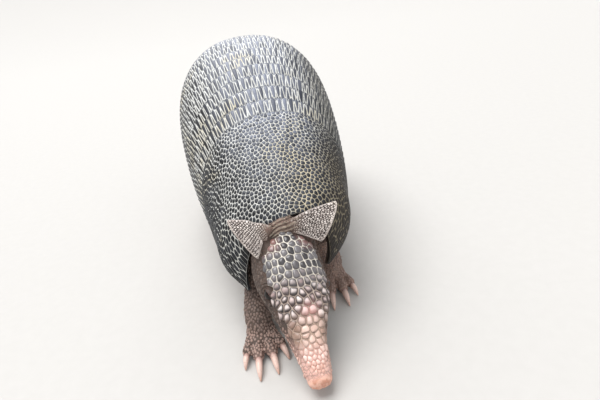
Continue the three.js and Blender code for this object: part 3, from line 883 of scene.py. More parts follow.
def turnOf(x, y):
    # How far round the head, in half turns, a place on the crown's patch lies
    row = np.interp(y, crown.y, np.arange(len(crown.y)))
    share = (x - crown.right(y)) / np.interp(y, crown.y, crown.width)
    table = crown.turns[np.clip(np.round(row).astype(int), 0, len(crown.y) - 1)]
    place = np.clip(share, 0, 1) * (table.shape[-1] - 1)
    low = np.minimum(place.astype(int), table.shape[-1] - 2)
    picked = np.take_along_axis(table, low[:, None], axis=1)[:, 0]
    following = np.take_along_axis(table, low[:, None] + 1, axis=1)[:, 0]
    return 0.5 * np.abs(picked + (following - picked) * (place - low))


def plateDrop(x, y):
    # The scutes' outer edges sink into the skin
    u = crown.rowOf(y)
    inside = (scutedTurn(u) - turnOf(x, y)) * 2.2 * through(head["at"], head["half"], u)
    behind = (u - plateRear(turnOf(x, y))) * head["length"]
    ahead = (plateFront(turnOf(x, y)) - u) * head["length"]
    return -1.3 * (1 - smooth(-0.8, 3.2, np.minimum(inside, behind))) - 1.2 * (1 - smooth(-2, 11, ahead))


def flatter(y):
    # The scutes lie flatter on the snout
    u = crown.rowOf(y)
    return float(1 - 0.45 * smooth(0.55, 0.68, u) + 0.4 * smooth(0.73, 0.8, u))


dice = random.Random(5)
crownEnd = float(crown.y[-1])
seeds, ghosts = rowSeeds(crown, 0.0, crownEnd, headAcross, headAlong, plate["jitter"], dice)
seeds = [(x, y - plate["chevron"] * abs(x) * chevron(y)) for x, y in seeds]
seeds, ghosts = relaxed(seeds, (crown.left, crown.right, 0.0, crownEnd), 1, plate["stretch"])
cells = cellsOf(seeds, ghosts, plate["stretch"])
middles = np.array(seeds)
middleTurn, middleU = turnOf(middles[:, 0], middles[:, 1]), crown.rowOf(middles[:, 1])
scuted = middleU <= plateFront(middleTurn)
onPlate = scuted & (middleTurn < plateTurn(middleU) - 0.005) & (middleU > plateRear(middleTurn))
spots = crown.place(middles[:, 0], middles[:, 1], np.zeros(len(middles)))
onCheek = scuted & ~onPlate & (middleTurn < scutedTurn(middleU) - 0.01)
onCheek &= (middleU > 0.27) & (eyeDistance(spots) > 6.0)
headHorn = headMaterial()


def makeHeadScutes(name, chosen, look):
    picked = [cell for cell, on in zip(cells, chosen) if on]
    piece = scuteObject(name, crown, picked, look, plateDrop, flatter)
    piece.data.materials.append(headHorn)
    away = np.linalg.norm(placesOf(piece) - headPoint(*plate["pinkAt"]), axis=1)
    setValues(piece.data, "pink", 1 - smooth(1.5, 9.5, away))
    return piece


headShield = makeHeadScutes("headShield", onPlate, plate)
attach(headShield, "root")
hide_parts("head_shield")
cheekScutes = makeHeadScutes("cheekScutes", onCheek, dict(plate, thickness=1.2))
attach(cheekScutes, "root")
print("head shield made:", len(headShield.data.polygons), "faces")


# Lines and lofts

class Line:
    # A smooth line through points, with even weight to each span
    def __init__(self, points):
        self.points = np.array(points, float)

    def point(self, t):
        points = self.points
        last = len(points) - 1
        t = np.clip(np.atleast_1d(np.asarray(t, float)), 0, 1) * last
        k = np.minimum(t.astype(int), last - 1)
        w = (t - k)[:, None]
        ends = np.vstack([2 * points[0] - points[1], points, 2 * points[-1] - points[-2]])
        p = [ends[k + n] for n in range(4)]
        d = [np.linalg.norm(b - a, axis=1, keepdims=True) ** 0.5 for a, b in zip(p, p[1:])]
        p0, p1, p2, p3 = p
        d0, d1, d2 = d
        m1 = ((p1 - p0) / d0 - (p2 - p0) / (d0 + d1) + (p2 - p1) / d1) * d1
        m2 = ((p2 - p1) / d1 - (p3 - p1) / (d1 + d2) + (p3 - p2) / d2) * d1
        return p1 + m1 * w + (-3 * p1 + 3 * p2 - 2 * m1 - m2) * w**2 + (2 * p1 - 2 * p2 + m1 + m2) * w**3

    def tangent(self, t):
        t = np.atleast_1d(np.asarray(t, float))
        return unit(self.point(np.minimum(t + 1e-4, 1)) - self.point(np.maximum(t - 1e-4, 0)))


def loftFaces(rows, count):
    # The faces between rings of equally many points
    faces = []
    for i in range(rows - 1):
        for j in range(count):
            k = (j + 1) % count
            faces.append([i * count + j, i * count + k, (i + 1) * count + k, (i + 1) * count + j])
    return faces


def addLoft(parts, rings):
    # A closed body through rings of equally many points, onto a list of points and faces
    rings = [np.asarray(r, float) for r in rings]
    points, faces = parts
    start, count = len(points), len(rings[0])
    for ring in rings:
        points.extend(ring.tolist())
    made = loftFaces(len(rings), count)
    made += [list(range(count))[::-1], [(len(rings) - 1) * count + j for j in range(count)]]
    faces.extend([[start + i for i in face] for face in made])


def loftObject(name, rings, values, material):
    parts = ([], [])
    addLoft(parts, rings)
    made = meshObject(name, *parts, values)
    facesOut(made)
    made.data.materials.append(material)
    return made


def turnRound(count):
    # Evenly spaced angles for the points of each ring of a loft
    return np.linspace(0, 2 * np.pi, count, endpoint=False)[None, :, None]


# Tail

# The path of the tail's middle and its radius from root to tip, with rings up to a share of its length
tail = {
    "path": [(-1, 172, 93), (-1, 195, 84), (3, 226, 57), (7, 258, 29), (15, 296, 12.5), (32, 350, 7.6),
             (54, 404, 5), (74, 452, 3)],
    "radius": [19.5, 18.2, 16.2, 14, 11.8, 8, 5.2, 2.6],
    "from": 0.045,
    "ringsEnd": 0.62,
    "rings": 12,
    "halfGap": 0.0006,
    "flare": 1.4,
    "ringWide": [3.6] * 8 + [3.0] * 4,
    "ringLong": (3.4, 5.6),
    "tipWide": 3.2,
    "tipLong": 4.4,
    "skinUnder": 2.3,
}
tailLine = Line(tail["path"])


def tailPoint(t, s, swell=0.0):
    # From the tail's root, where t is 0, to its tip; s runs round it from -1 to 1
    t, s = np.broadcast_arrays(np.asarray(t, float), s)
    flat = t.ravel()
    centre, along = tailLine.point(flat), tailLine.tangent(flat)
    side = unit(np.cross(along, np.array([0.0, 0, 1])))
    up = np.cross(side, along)
    swell = np.broadcast_to(swell, t.shape).ravel()
    radius = through(np.linspace(0, 1, len(tail["radius"])), tail["radius"], flat) + swell
    angle = s.ravel() * np.pi
    p = centre + side * (radius * np.sin(angle))[:, None] + up * (radius * np.cos(angle))[:, None]
    p[:, 2] = np.maximum(p[:, 2], 0)
    return p.reshape(*t.shape, 3)


tailLook = dict(
    shieldLook, thickness=1.6, web=-0.25, crown=0.3, size=2.0, step=1.3,
    rings=[(0.3, 16, -0.25, 0.1), (0.55, 8, 0.1, 0.7), (1.0, 5, 0.25, 0.9)],
)


def tailMaterial():
    material, v = finish("tailHorn")
    rise, shade, side = v.attributes("rise", "shade", "side")
    fine, broad = v.noise(1.0, 4), v.noise(25, 3)
    dark = v.mix(shade, color(62, 62, 66), color(100, 97, 97))
    dark = v.mix(broad.ramp(0.4, 0.7), dark, color(122, 112, 104))
    dark = v.mix(side.ramp(0.1, 1) * 0.5, dark, color(168, 156, 140))
    base = v.mix(rise.ramp(0.1, 0.6), v.mix(fine, color(196, 184, 164), color(140, 126, 110)), dark)
    rough = rise.ramp(0.1, 0.6, 0.75, 0.5) + fine * 0.12
    return surface(material, base, rough, fine * 0.6 + v.noise(0.4, 2) * 0.4, 0.0002, 0.7)


tailHorn = tailMaterial()
ringLength = (tail["ringsEnd"] - tail["from"]) / tail["rings"]


def makeTailRing(n, dice):
    # A ring widens backwards and has short scutes in front and long ones behind
    low = tail["from"] + ringLength * n + tail["halfGap"]
    high = low + ringLength - 2 * tail["halfGap"]

    def flared(t, s):
        return tailPoint(t, s, tail["flare"] * ((t - low) / (high - low) - 0.6))

    part = Patch(flared, np.linspace(low, high, 41), away=tailLine.point((low + high) / 2)[0])
    reach = float(part.y[-1])
    seeds, ghosts = rowSeeds(part, 0.0, reach, lambda y: tail["ringWide"][n],
                             lambda y: tail["ringLong"][y > 0.35 * reach], 0.1, dice)
    ring = scuteObject(f"tailRing{n + 1}", part, cellsOf(seeds, ghosts), tailLook)
    ring.data.materials.append(tailHorn)
    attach(ring, "root")
    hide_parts(f"tail_ring_{n + 1}")


def makeTailTip(dice):
    rows = np.linspace(tail["ringsEnd"] + tail["halfGap"], 1, 161)
    part = Patch(tailPoint, rows, away=tailLine.point(0.81)[0] - np.array([0, 0, 2]))
    seeds, ghosts = rowSeeds(part, 0.0, float(part.y[-1]), lambda y: tail["tipWide"],
                             lambda y: tail["tipLong"], 0.12, dice)
    tailTip = scuteObject("tailTip", part, cellsOf(seeds, ghosts), dict(tailLook, thickness=1.2))
    tailTip.data.materials.append(tailHorn)
    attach(tailTip, "root")
    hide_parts("tail_tip")


for n in range(tail["rings"]):
    makeTailRing(n, dice)
makeTailTip(dice)
print("tail made")


# Ears

ears = {
    "left": {
        "rootTop": (2.3, -130.0, 87.7), "rootLow": (2.8, -130.4, 78.4),
        "tip": (36.9, -131.8, 97.5), "lobe": (21.1, -141.9, 72.9),
        "bulge": 2.2, "hollow": 0.6, "valley": 0.6, "curl": 3.0, "slant": 0.95,
    },
    "right": {
        "rootTop": (-12.0, -130.5, 86.7), "rootLow": (-15.8, -133.5, 78.0),
        "tip": (-40.5, -129.0, 98.0), "lobe": (-23.3, -144.2, 70.8),
        "bulge": 2.5, "hollow": 3.0, "valley": 3.6, "curl": 3.6, "slant": 0.2,
    },
}
earShape = {
    "thickness": 1.5,
    "thinning": 0.45,
    "topBow": 1.5,
    "rounding": 0.05,
    "rim": 0.45,
    "valleyAt": 0.34,
    "valleyWide": 0.11,
    "ripple": 0.5,
}
earLook = dict(
    shieldLook, thickness=0.55, web=-0.22, crown=0.42, uneven=0.05, size=0.8, step=0.9,
    jitter=0.2, across=2.35, along=1.18, rings=[(0.14, 10, -0.16, 0.1), (0.32, 5, 0.26, 0.8)],
)


def earPoint(ear, i, j, depth):
    # From the root, where i is 0, to the free edge, where it is 1; j runs from the tip's side to the lobe's
    rootTop, rootLow, tip, lobe = (np.array(ear[key]) for key in ("rootTop", "rootLow", "tip", "lobe"))
    i, j = (k[..., None] for k in np.broadcast_arrays(np.asarray(i, float), j))
    out = unit((tip + lobe - rootTop - rootLow) / 2)
    down = unit(lobe - tip - out * ((lobe - tip) @ out))
    back = np.cross(out, down)
    if back[1] > 0:
        back = -back
    root = rootTop + (rootLow - rootTop) * j
    edge = tip + (lobe - tip) * j + out * (ear["bulge"] * 4 * j * (1 - j))
    reach = i * (1 - earShape["rounding"] * np.abs(2 * j - 1) ** 7)
    belly = np.sin(np.pi * np.clip(i, 0, 1) ** 0.8)
    place = root + (edge - root) * reach
    place = place - down * (earShape["topBow"] * belly * (1 - j) ** 2 + ear["hollow"] * belly * j**2)
    sink = ear["curl"] * i * np.abs(i) * (np.abs(j - 0.45) / 0.55) ** 2
    valley = (i - earShape["valleyAt"] + 0.1 * j) / earShape["valleyWide"]
    sink = sink + ear["valley"] * np.exp(-(valley**2))
    sink = sink + earShape["ripple"] * np.sin(9 * i + 5 * j) * i
    return place - back * (sink + depth * (1 - earShape["thinning"] * i))


def earMaterial():
    material, v = finish("earHide")
    rise, shade, along, side = v.attributes("rise", "shade", "along", "side")
    fine, patchy = v.noise(0.7, 3), v.noise(7, 3, 0.6)
    grain = v.mix(shade, color(174, 161, 156), color(250, 240, 234))
    grain = v.mix(patchy.ramp(0.4, 0.7, 0, 0.7), grain, color(250, 240, 232))
    web = v.mix(patchy, color(46, 40, 36), color(76, 66, 60))
    base = v.mix(rise.ramp(0.15, 0.75), web, grain)
    base = v.mix(v.maths("ABSOLUTE", side).ramp(0.5, 0.9, 0, 0.6), base, web)
    base = v.mix(along.ramp(0.34, 0.04, 0, 0.65), base, v.mix(fine, color(138, 112, 97), color(104, 84, 71)))
    base = v.mix(along.ramp(0.93, 1.0, 0, 0.3), base, color(186, 172, 160))
    return surface(material, base, 0.5 + fine * 0.2, fine, 0.00015, 0.6)


def stripedSeeds(part, slant, dice):
    # Long grains in slanted rows
    reach, wide = float(part.y[-1]), float(part.width.max())
    seeds = []
    for r in range(math.ceil((reach + slant * wide) / earLook["along"])):
        for c in range(math.ceil(wide / earLook["across"]) + 1):
            x = (c + 0.5 * (r % 2) + dice.uniform(-1, 1) * earLook["jitter"]) * earLook["across"]
            y = (r + 0.5 + dice.uniform(-1, 1) * earLook["jitter"]) * earLook["along"] - slant * (wide - x)
            if 0.3 < y < reach - 0.3 and part.right(y) + 0.3 < x < part.left(y) - 0.3:
                seeds.append((x, y))
    return seeds


def makeEarSheet(name, ear, face, depth, away, material):
    part = Patch(lambda i, j: earPoint(ear, i, j, depth), np.linspace(0, 1, 121), (0, 1), 121,
                 away=earPoint(ear, 0.5, 0.5, away))
    seeds = stripedSeeds(part, ear["slant"], dice)
    ghosts = mirrored(seeds, (part.left, part.right, 0.0, float(part.y[-1])))
    sheet = scuteObject(f"ear{face}{name.capitalize()}", part, cellsOf(seeds, ghosts), earLook)
    sheet.data.materials.append(material)
    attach(sheet, "root")
    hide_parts(f"ear_{name}")


def makeEarRim(name, ear, material):
    # A rounded welt that closes the two sheets of an ear along their free edges
    edge, low, high, steps, sides = 0.985, 0.008, 0.992, 40, 10
    t = np.linspace(0, 1, steps)
    i = np.concatenate([t * edge, np.full(steps - 2, edge), (1 - t) * edge])
    j = np.concatenate([np.full(steps, low), np.linspace(low, high, steps)[1:-1], np.full(steps, high)])
    path = earPoint(ear, i, j, 0.5 * earShape["thickness"])
    out = unit(earPoint(ear, i, j, 0.0) - path)
    across = unit(np.cross(unit(np.gradient(path, axis=0)), out))
    angle = turnRound(sides)
    tall = (0.5 * earShape["thickness"] * (1 - earShape["thinning"] * i) + 0.12)[:, None, None]
    rings = (path[:, None, :] + across[:, None, :] * np.cos(angle) * earShape["rim"]
             + out[:, None, :] * np.sin(angle) * tall)
    count = len(path) * sides
    values = {"rise": np.full(count, 0.5), "shade": np.full(count, 0.4), "along": np.repeat(i, sides)}
    rim = loftObject(f"earRim{name.capitalize()}", list(rings), values, material)
    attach(rim, "root")


earHide = earMaterial()
for name, ear in ears.items():
    makeEarSheet(name, ear, "Back", 0.0, earShape["thickness"], earHide)
    makeEarSheet(name, ear, "Inside", earShape["thickness"], -earShape["thickness"], earHide)
    makeEarRim(name, ear, earHide)
print("ears made")


# Legs, feet and claws

# Feet, in their own directions, from heel to front: half their width and how tall they are.
# Each toe: how far aside and ahead its knuckle is, its radius, its claw's length and the way it points
foreFoot = {
    "toes": [(-9, 9, 3.6, 9, -14), (-3.4, 15, 4.2, 15, -4), (3.6, 14, 4.2, 14, 5), (9.4, 8, 3.9, 10, 15)],
    "back": 6, "front": 22, "halfBack": 9, "halfFront": 12.5, "tallBack": 18, "tallFront": 9,
}
hindFoot = {
    "toes": [(-12, 6, 3.6, 8, -16), (-6.5, 13, 4.2, 11, -7), (0, 16, 4.5, 13, 0), (6.5, 12, 4.2, 11, 8),
             (12, 5, 3.6, 8, 17)],
    "back": 10, "front": 38, "halfBack": 9.5, "halfFront": 15, "tallBack": 20, "tallFront": 9,
}
foreRadii, hindRadii = [17, 14, 11, 9.5], [24, 20, 14, 10]
# Where each foot stands and how it is turned, and the line down the middle of the leg with its radii
legs = {
    "fore_right": {"foot": (-33, -130), "turn": 2, "shape": foreFoot, "radii": foreRadii,
                   "line": [(-21, -84, 58), (-24, -100, 38), (-31, -119, 21), (-33, -130, 13)]},
    "fore_left": {"foot": (35, -78), "turn": -3, "shape": foreFoot, "radii": foreRadii,
                  "line": [(22, -58, 60), (25, -66, 40), (32, -74, 22), (35, -78, 13)]},
    "hind_right": {"foot": (-56, 108), "turn": 8, "shape": hindFoot, "radii": hindRadii,
                   "line": [(-46, 84, 72), (-51, 92, 50), (-56, 103, 30), (-56, 108, 14)]},
    "hind_left": {"foot": (50, 98), "turn": -8, "shape": hindFoot, "radii": hindRadii,
                  "line": [(40, 76, 72), (45, 84, 50), (50, 94, 30), (50, 98, 14)]},
}
knuckle = 7  # how far behind the foot's front the toes start


def footPlace(leg, points):
    # From a foot's own places, with its toes towards -y, to the body's
    turn = math.radians(leg["turn"])
    points = np.asarray(points, float)
    return np.stack([
        leg["foot"][0] + points[..., 0] * math.cos(turn) - points[..., 1] * math.sin(turn),
        leg["foot"][1] + points[..., 0] * math.sin(turn) + points[..., 1] * math.cos(turn),
        np.maximum(points[..., 2], 0),
    ], axis=-1)


def rodRings(leg, stations, count, rings, flat=1.0):
    # Round sections along a smooth line through stations of (forward, side, height, radius)
    stations = np.array(stations, float)
    line = Line(np.stack([stations[:, 1], -stations[:, 0], stations[:, 2]], axis=1))
    t = np.linspace(0, 1, rings)
    along = line.tangent(t)
    across = unit(np.cross(along, np.array([0.0, 0, 1])))
    up = np.cross(across, along)
    radius = through(np.linspace(0, 1, len(stations)), stations[:, 3], t)[:, None, None]
    angle = turnRound(count)
    ring = (line.point(t)[:, None, :] + across[:, None, :] * np.sin(angle) * radius * flat
            + up[:, None, :] * np.cos(angle) * radius)
    return list(footPlace(leg, ring))


def toeAhead(leg, toe, reach):
    side, spread = toe[0], math.radians(toe[4])
    return leg["shape"]["front"] - knuckle + reach * math.cos(spread), side + reach * math.sin(spread)


def legRings(leg):
    line = Line(leg["line"])
    t = np.linspace(0, 1, 14)
    along = line.tangent(t)
    side = unit(np.cross(along, np.array([0.0, 1, 0])))
    front = np.cross(side, along)
    radius = (through(np.linspace(0, 1, 4), leg["radii"], t) - 0.4)[:, None, None]
    angle = turnRound(28)
    return list(line.point(t)[:, None, :] + side[:, None, :] * np.sin(angle) * 0.92 * radius
                + front[:, None, :] * np.cos(angle) * radius)


def soleRings(leg):
    # The foot from its heel forwards, flat below and wider and lower towards the toes
    shape = leg["shape"]
    angle = turnRound(28)[0, :, 0]
    rings = []
    for t in np.linspace(0, 1, 12):
        ahead = -shape["back"] + (shape["back"] + shape["front"]) * t
        ease = math.sin(math.pi * min(0.12 + t * 0.8, 0.5)) ** 0.8
        half = (shape["halfBack"] + (shape["halfFront"] - shape["halfBack"]) * t) * ease - 0.3
        tall = (shape["tallBack"] + (shape["tallFront"] - shape["tallBack"]) * t**0.8) * ease - 0.3
        x = half * bend(np.sin(angle), 0.8)
        z = tall * 0.5 + tall * 0.56 * bend(np.cos(angle), 0.8)
        rings.append(footPlace(leg, np.stack([x, np.full_like(x, -ahead), z], axis=1)))
    return rings


def ankleRings(leg):
    ankle = Line(leg["line"]).point(0.72)[0] - np.array([*leg["foot"], 0])
    turn = math.radians(-leg["turn"])
    x = ankle[0] * math.cos(turn) - ankle[1] * math.sin(turn)
    y = ankle[0] * math.sin(turn) + ankle[1] * math.cos(turn)
    thick, front = leg["radii"][3], leg["shape"]["front"]
    return rodRings(leg, [
        (-y, x, ankle[2], thick * 1.05),
        (0.5, 0.3, 15, thick * 1.06),
        (front * 0.35, 0, 10.5, thick * 0.98),
        (front * 0.72, 0, 6.5, thick * 0.62),
    ], 28, 16)


def toeRings(leg, toe):
    reach, radius = toe[1], toe[2]
    end = knuckle + reach
    return rodRings(leg, [
        (*toeAhead(leg, toe, 0), 4.4, radius * 0.9),
        (*toeAhead(leg, toe, knuckle + reach * 0.2), 5.3, radius * 0.86),
        (*toeAhead(leg, toe, knuckle + reach * 0.5), 5.4, radius * 0.98),
        (*toeAhead(leg, toe, end - 1.2), 4.3, radius * 0.8),
        (*toeAhead(leg, toe, end + 0.2), 4.1, radius * 0.55),
    ], 18, 12)


def clawRings(leg, toe, count, rings):
    end, claw, root = knuckle + toe[1], toe[3], toe[2] * 0.7
    return rodRings(leg, [
        (*toeAhead(leg, toe, end - 2.4), 4.3, root * 0.82),
        (*toeAhead(leg, toe, end + 1.2), 4.5, root * 0.98),
        (*toeAhead(leg, toe, end + claw * 0.4), 4.4, root * 0.86),
        (*toeAhead(leg, toe, end + claw * 0.72), 3.1, root * 0.6),
        (*toeAhead(leg, toe, end + claw), 0.7, root * 0.14),
    ], count, rings, 0.86)


def clawMaterial():
    material, v = finish("clawHorn")
    along, around = v.attributes("along", "around")
    lengthwise = v.node("ShaderNodeCombineXYZ", None, {"X": around * 6, "Y": along * 1.2})
    streak = v.node("ShaderNodeTexNoise", None, {"Vector": lengthwise, "Scale": 3.0, "Detail": 3.0})
    fine = v.noise(1.6, 4)
    base = v.mix(along.ramp(0.05, 0.5), color(150, 112, 104), color(226, 196, 184))
    base = v.mix(along.ramp(0.7, 1.0, 0, 0.8), base, color(206, 160, 140))
    base = v.mix(streak.ramp(0.5, 0.8, 0, 0.5), base, color(132, 102, 90))
    base = v.mix(fine.ramp(0.55, 0.75, 0, 0.5), base, color(96, 74, 62))
    return surface(material, base, 0.32 + streak * 0.2, streak * 0.7 + fine * 0.3, 0.00025, 0.6)


def makeClaws(key, leg, material, count=20, rings=22):
    pair, side = key.split("_")
    along = np.repeat(np.linspace(0, 1, rings), count)
    around = np.tile(np.abs(np.linspace(-1, 1, count, endpoint=False)), rings)
    for n, toe in enumerate(leg["shape"]["toes"]):
        piece = loftObject(f"{pair}Claw{side.capitalize()}{n + 1}", clawRings(leg, toe, count, rings),
                           {"along": along, "around": around}, material)
        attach(piece, "root")
        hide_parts(f"{pair}foot_{side}_claw_{n + 1}")


clawHorn = clawMaterial()
for key, leg in legs.items():
    makeClaws(key, leg, clawHorn)
print("claws made")


# Skin: one surface over head, neck, trunk, legs and tail

skin = {
    "voxel": 1.15,
    "smoothing": 5,
    "trunkDepth": 4.7,
    "trunkFrom": 0.11,
    "trunkTo": 0.985,
    "sag": 7.0,
    "rumpSag": 16.0,
    "neckHalf": 37.0,
    "neckTall": 32.0,
    "neckLean": -0.06,
    "neckSwell": ((0.12, 1.05), (0.3, 1.06), (0.55, 1.03), (0.8, 1.0), (1, 0.98)),
    "noseAt": [0.95, 0.97, 0.985, 0.995, 1.0],
    "noseRound": [0, 0.25, 0.9, 1.9, 3.2],
}


def trunkRing(row):
    # One section of the trunk: under the shell, and hanging between its rims
    y = shell.yOf(row)
    x = np.linspace(float(shell.right(y)), float(shell.left(y)), 49)
    over = shell.place(x, np.full_like(x, y), np.full_like(x, -skin["trunkDepth"]))
    right, left, ridge = over[0], over[-1], over[24]
    sag = skin["sag"] + (skin["rumpSag"] - skin["sag"]) * float(smooth(0.8, 1, row))
    lean = (right[1] + left[1] - 2 * ridge[1]) / (2 * ridge[2] - right[2] - left[2])
    share = np.linspace(0, 1, 17)[1:-1, None]
    drop = sag * np.sin(np.pi * share) ** 0.7
    under = left + (right - left) * share + np.concatenate([0 * drop, lean * drop, -drop], axis=1)
    return np.vstack([over, under])


def neckRings():
    # From inside the head back into the trunk
    middle = trunkRing(skin["trunkFrom"]).mean(axis=0)
    angle = np.linspace(-1, 1, 48, endpoint=False)
    first = headPoint(np.full(48, -0.035), angle, 1.5)
    x, z = skin["neckHalf"] * np.sin(angle * np.pi), skin["neckTall"] * np.cos(angle * np.pi)
    last = np.stack([middle[0] + x, middle[1] - skin["neckLean"] * z, middle[2] + z], axis=1)
    centre = headPlace(0.0, 0, -21)
    rings = [headPoint(np.full(48, 0.12), angle, 3.0), first]
    for share, swell in skin["neckSwell"]:
        core = centre + (middle - centre) * share
        rings.append(core + (first + (last - first) * share - core) * swell)
    return rings + [last + np.array([0, 14.0, 0])]


def headRing(u):
    # One section of the head, sunk where scutes cover it and drawn in round the nose
    s = np.linspace(-1, 1, 72, endpoint=False)
    bare = 1 - 0.9 * smooth(-0.09, 0.02, u - plateFront(s))
    under, cheek = (1 - smooth(-0.012, 0.03, np.abs(s) - float(turn(u))) for turn in (plateTurn, scutedTurn))
    under = under * smooth(-0.02, 0.03, u - plateRear(s)) * bare
    cheek = cheek * float(smooth(0.3, 0.4, u)) * bare
    end = float(np.interp(u, skin["noseAt"], skin["noseRound"]))
    return headPoint(np.full(72, u), s, 0.35 + np.maximum(under * 1.1, cheek * 0.55) + end)


def earRoot(ear):
    # Skin round the foot of an ear, thickest where it leaves the head
    i, j = np.meshgrid(np.linspace(-0.1, 0.3, 22), np.linspace(0.0, 1.0, 30), indexing="ij")
    swell = (1.5 * (1 - smooth(-0.06, 0.2, i)) - 0.35)[..., None]
    back, inside = earPoint(ear, i, j, 0), earPoint(ear, i, j, earShape["thickness"])
    thick = unit(back - inside)
    return [np.vstack([a, b[::-1]]) for a, b in zip(back + thick * swell, inside - thick * swell)]


def skinParts():
    parts = ([], [])
    addLoft(parts, [trunkRing(row) for row in np.linspace(skin["trunkFrom"], skin["trunkTo"], 48)])
    addLoft(parts, neckRings())
    addLoft(parts, [headRing(u) for u in [*np.linspace(0.0, 0.94, 44), 0.955, 0.97, 0.982, 0.992, 1.0]])
    for leg in legs.values():
        for rings in (legRings(leg), soleRings(leg), ankleRings(leg)):
            addLoft(parts, rings)
        for toe in leg["shape"]["toes"]:
            addLoft(parts, toeRings(leg, toe))
    for ear in ears.values():
        addLoft(parts, earRoot(ear))
    t, s = np.linspace(0.0, 0.985, 60)[:, None], np.linspace(-1, 1, 28, endpoint=False)[None, :]
    addLoft(parts, list(tailPoint(t, s, -tail["skinUnder"] * (1 - 0.6 * t))))
    return parts


def remeshed(name, parts):
    # One closed mesh round all the parts, smoothed
    rough = meshObject(name, *parts)
    facesOut(rough)
    modifier = rough.modifiers.new("remesh", "REMESH")
    modifier.mode, modifier.voxel_size, modifier.adaptivity = "VOXEL", skin["voxel"] * 0.001, 0
    soften = rough.modifiers.new("soften", "SMOOTH")
    soften.factor, soften.iterations = 0.5, skin["smoothing"]
    shaped = bpy.data.meshes.new_from_object(rough.evaluated_get(bpy.context.evaluated_depsgraph_get()))
    bpy.data.objects.remove(rough)
    shaped.name = name
    made = bpy.data.objects.new(name, shaped)
    bpy.context.scene.collection.objects.link(made)
    return made


def movePlaces(made, places):
    made.data.vertices.foreach_set("co", ((places + shift) * 0.001).astype(np.float32).ravel())
    made.data.update()


def refine(made, mask, cuts):
    # Finer faces where the mask of the vertices is true
    work = bmesh.new()
    work.from_mesh(made.data)
    work.verts.ensure_lookup_table()
    edges = [e for e in work.edges if mask[e.verts[0].index] and mask[e.verts[1].index]]
    bmesh.ops.subdivide_edges(work, edges=edges, cuts=cuts, use_grid_fill=True, smooth=0.0)
    work.to_mesh(made.data)
    work.free()


def chinAt(along):
    # How high the head's underside is
    return through(head["at"], head["bottom"], np.clip(along, 0, 1))


def mouthLine(along):
    # How high the mouth runs
    return chinAt(along) + 4.6 + 2.2 * smooth(0.75, 0.5, along)


def refineFace(body):
    # The nose, the nape and the eyes get the finest faces, and the mouth finer ones
    places = placesOf(body)
    along, left, up = headCoordinates(places)
    nose = (along > 0.9) & (along < 1.1) & (np.abs(left) < 14) & (up > -30)
    nape = (along > -0.2) & (along < 0.07) & (np.abs(left) < 34)
    nape &= (normalsOf(body)[:, 2] > 0.05) & (places[:, 2] > 60)
    refine(body, nose | nape | (eyeDistance(places) < 9.5), 2)
    along, left, up = headCoordinates(placesOf(body))
    mouth = (along > 0.45) & (along < 0.9) & (np.abs(left) < 26) & (up < chinAt(along) + 12)
    refine(body, mouth, 1)


def wave(points, size, seed, count=7):
    # Smooth noise between about -1 and 1 from a few turned sine waves
    dice = np.random.default_rng(seed)
    total = np.zeros(len(points))
    for _ in range(count):
        direction = unit(dice.normal(size=3))
        pitch = 2 * np.pi / (size * dice.uniform(0.7, 1.5))
        total += np.sin(points @ direction * pitch + dice.uniform(0, 6.3))
    return total / (count / 2)


frontX = np.linspace(float(shell.right(0)), float(shell.left(0)), 121)
shieldEdge = shell.place(frontX, np.zeros(121), np.full(121, -0.5))
shieldEdge = shieldEdge[np.abs(shieldEdge[:, 0]) < 36]
neckFolds = {
    "apart": 6.6,
    "deep": 1.9,
    "wrinkleApart": 3.1,
    "wrinkleDeep": 0.8,
    "bow": 0.011,
}


def underShield(places):
    # How far ahead of the shield's front edge each place lies, and how far below it
    ahead = np.interp(places[:, 0], shieldEdge[:, 0], shieldEdge[:, 1]) - places[:, 1]
    return ahead, np.interp(places[:, 0], shieldEdge[:, 0], shieldEdge[:, 2]) - 0.3 - places[:, 2]


def raiseNeck(places, normals):
    # The skin of the neck rises to meet the shield's edge
    ahead, under = underShield(places)
    near = smooth(-5, -1.5, ahead) * (1 - smooth(1.6, 3.6, ahead))
    near = near * (1 - smooth(22, 33, np.abs(places[:, 0])))
    near *= smooth(0.0, 0.4, normals[:, 2]) * (places[:, 2] > 60)
    return np.array([0, 0, 1.0]) * (np.clip(under - 4.5 * np.maximum(ahead, 0), 0, 11) * near)[:, None]


def foldNeck(places, normals):
    # How the neck's skin bunches up against the shield: its move, and how high on a fold each place is
    along, left, up = headCoordinates(places)
    back = -along * head["length"]
    bow = neckFolds["bow"] * left**2 + 2.2 * wave(places, 26, 3)
    ridge = np.abs(np.sin(np.pi * (back - bow * 0.35 + 3.0) / neckFolds["apart"])) ** 0.75 - 0.62
    mask = smooth(0.0, 4.5, back) * (1 - smooth(34, 46, back)) * smooth(-60, -34, up)
    mask *= 1 - smooth(30, 44, np.abs(left))
    ahead, under = underShield(places)
    near = smooth(-3.5, -1.0, ahead) * (1 - smooth(2.4, 4.4, ahead))
    near = near * (1 - smooth(20, 30, np.abs(places[:, 0])))
    near *= (places[:, 2] > 62) * (1 - smooth(9, 12, under))
    down = 0.5 * ahead + under + 0.9 * wave(places, 14, 5)
    wrinkle = np.abs(np.sin(np.pi * down / neckFolds["wrinkleApart"])) ** 0.8 - 0.6
    folds = neckFolds["deep"] * ridge * mask * (1 - near) + neckFolds["wrinkleDeep"] * wrinkle * near
    return normals * folds[:, None], wrinkle * near * 1.3 + ridge * mask * (1 - near)


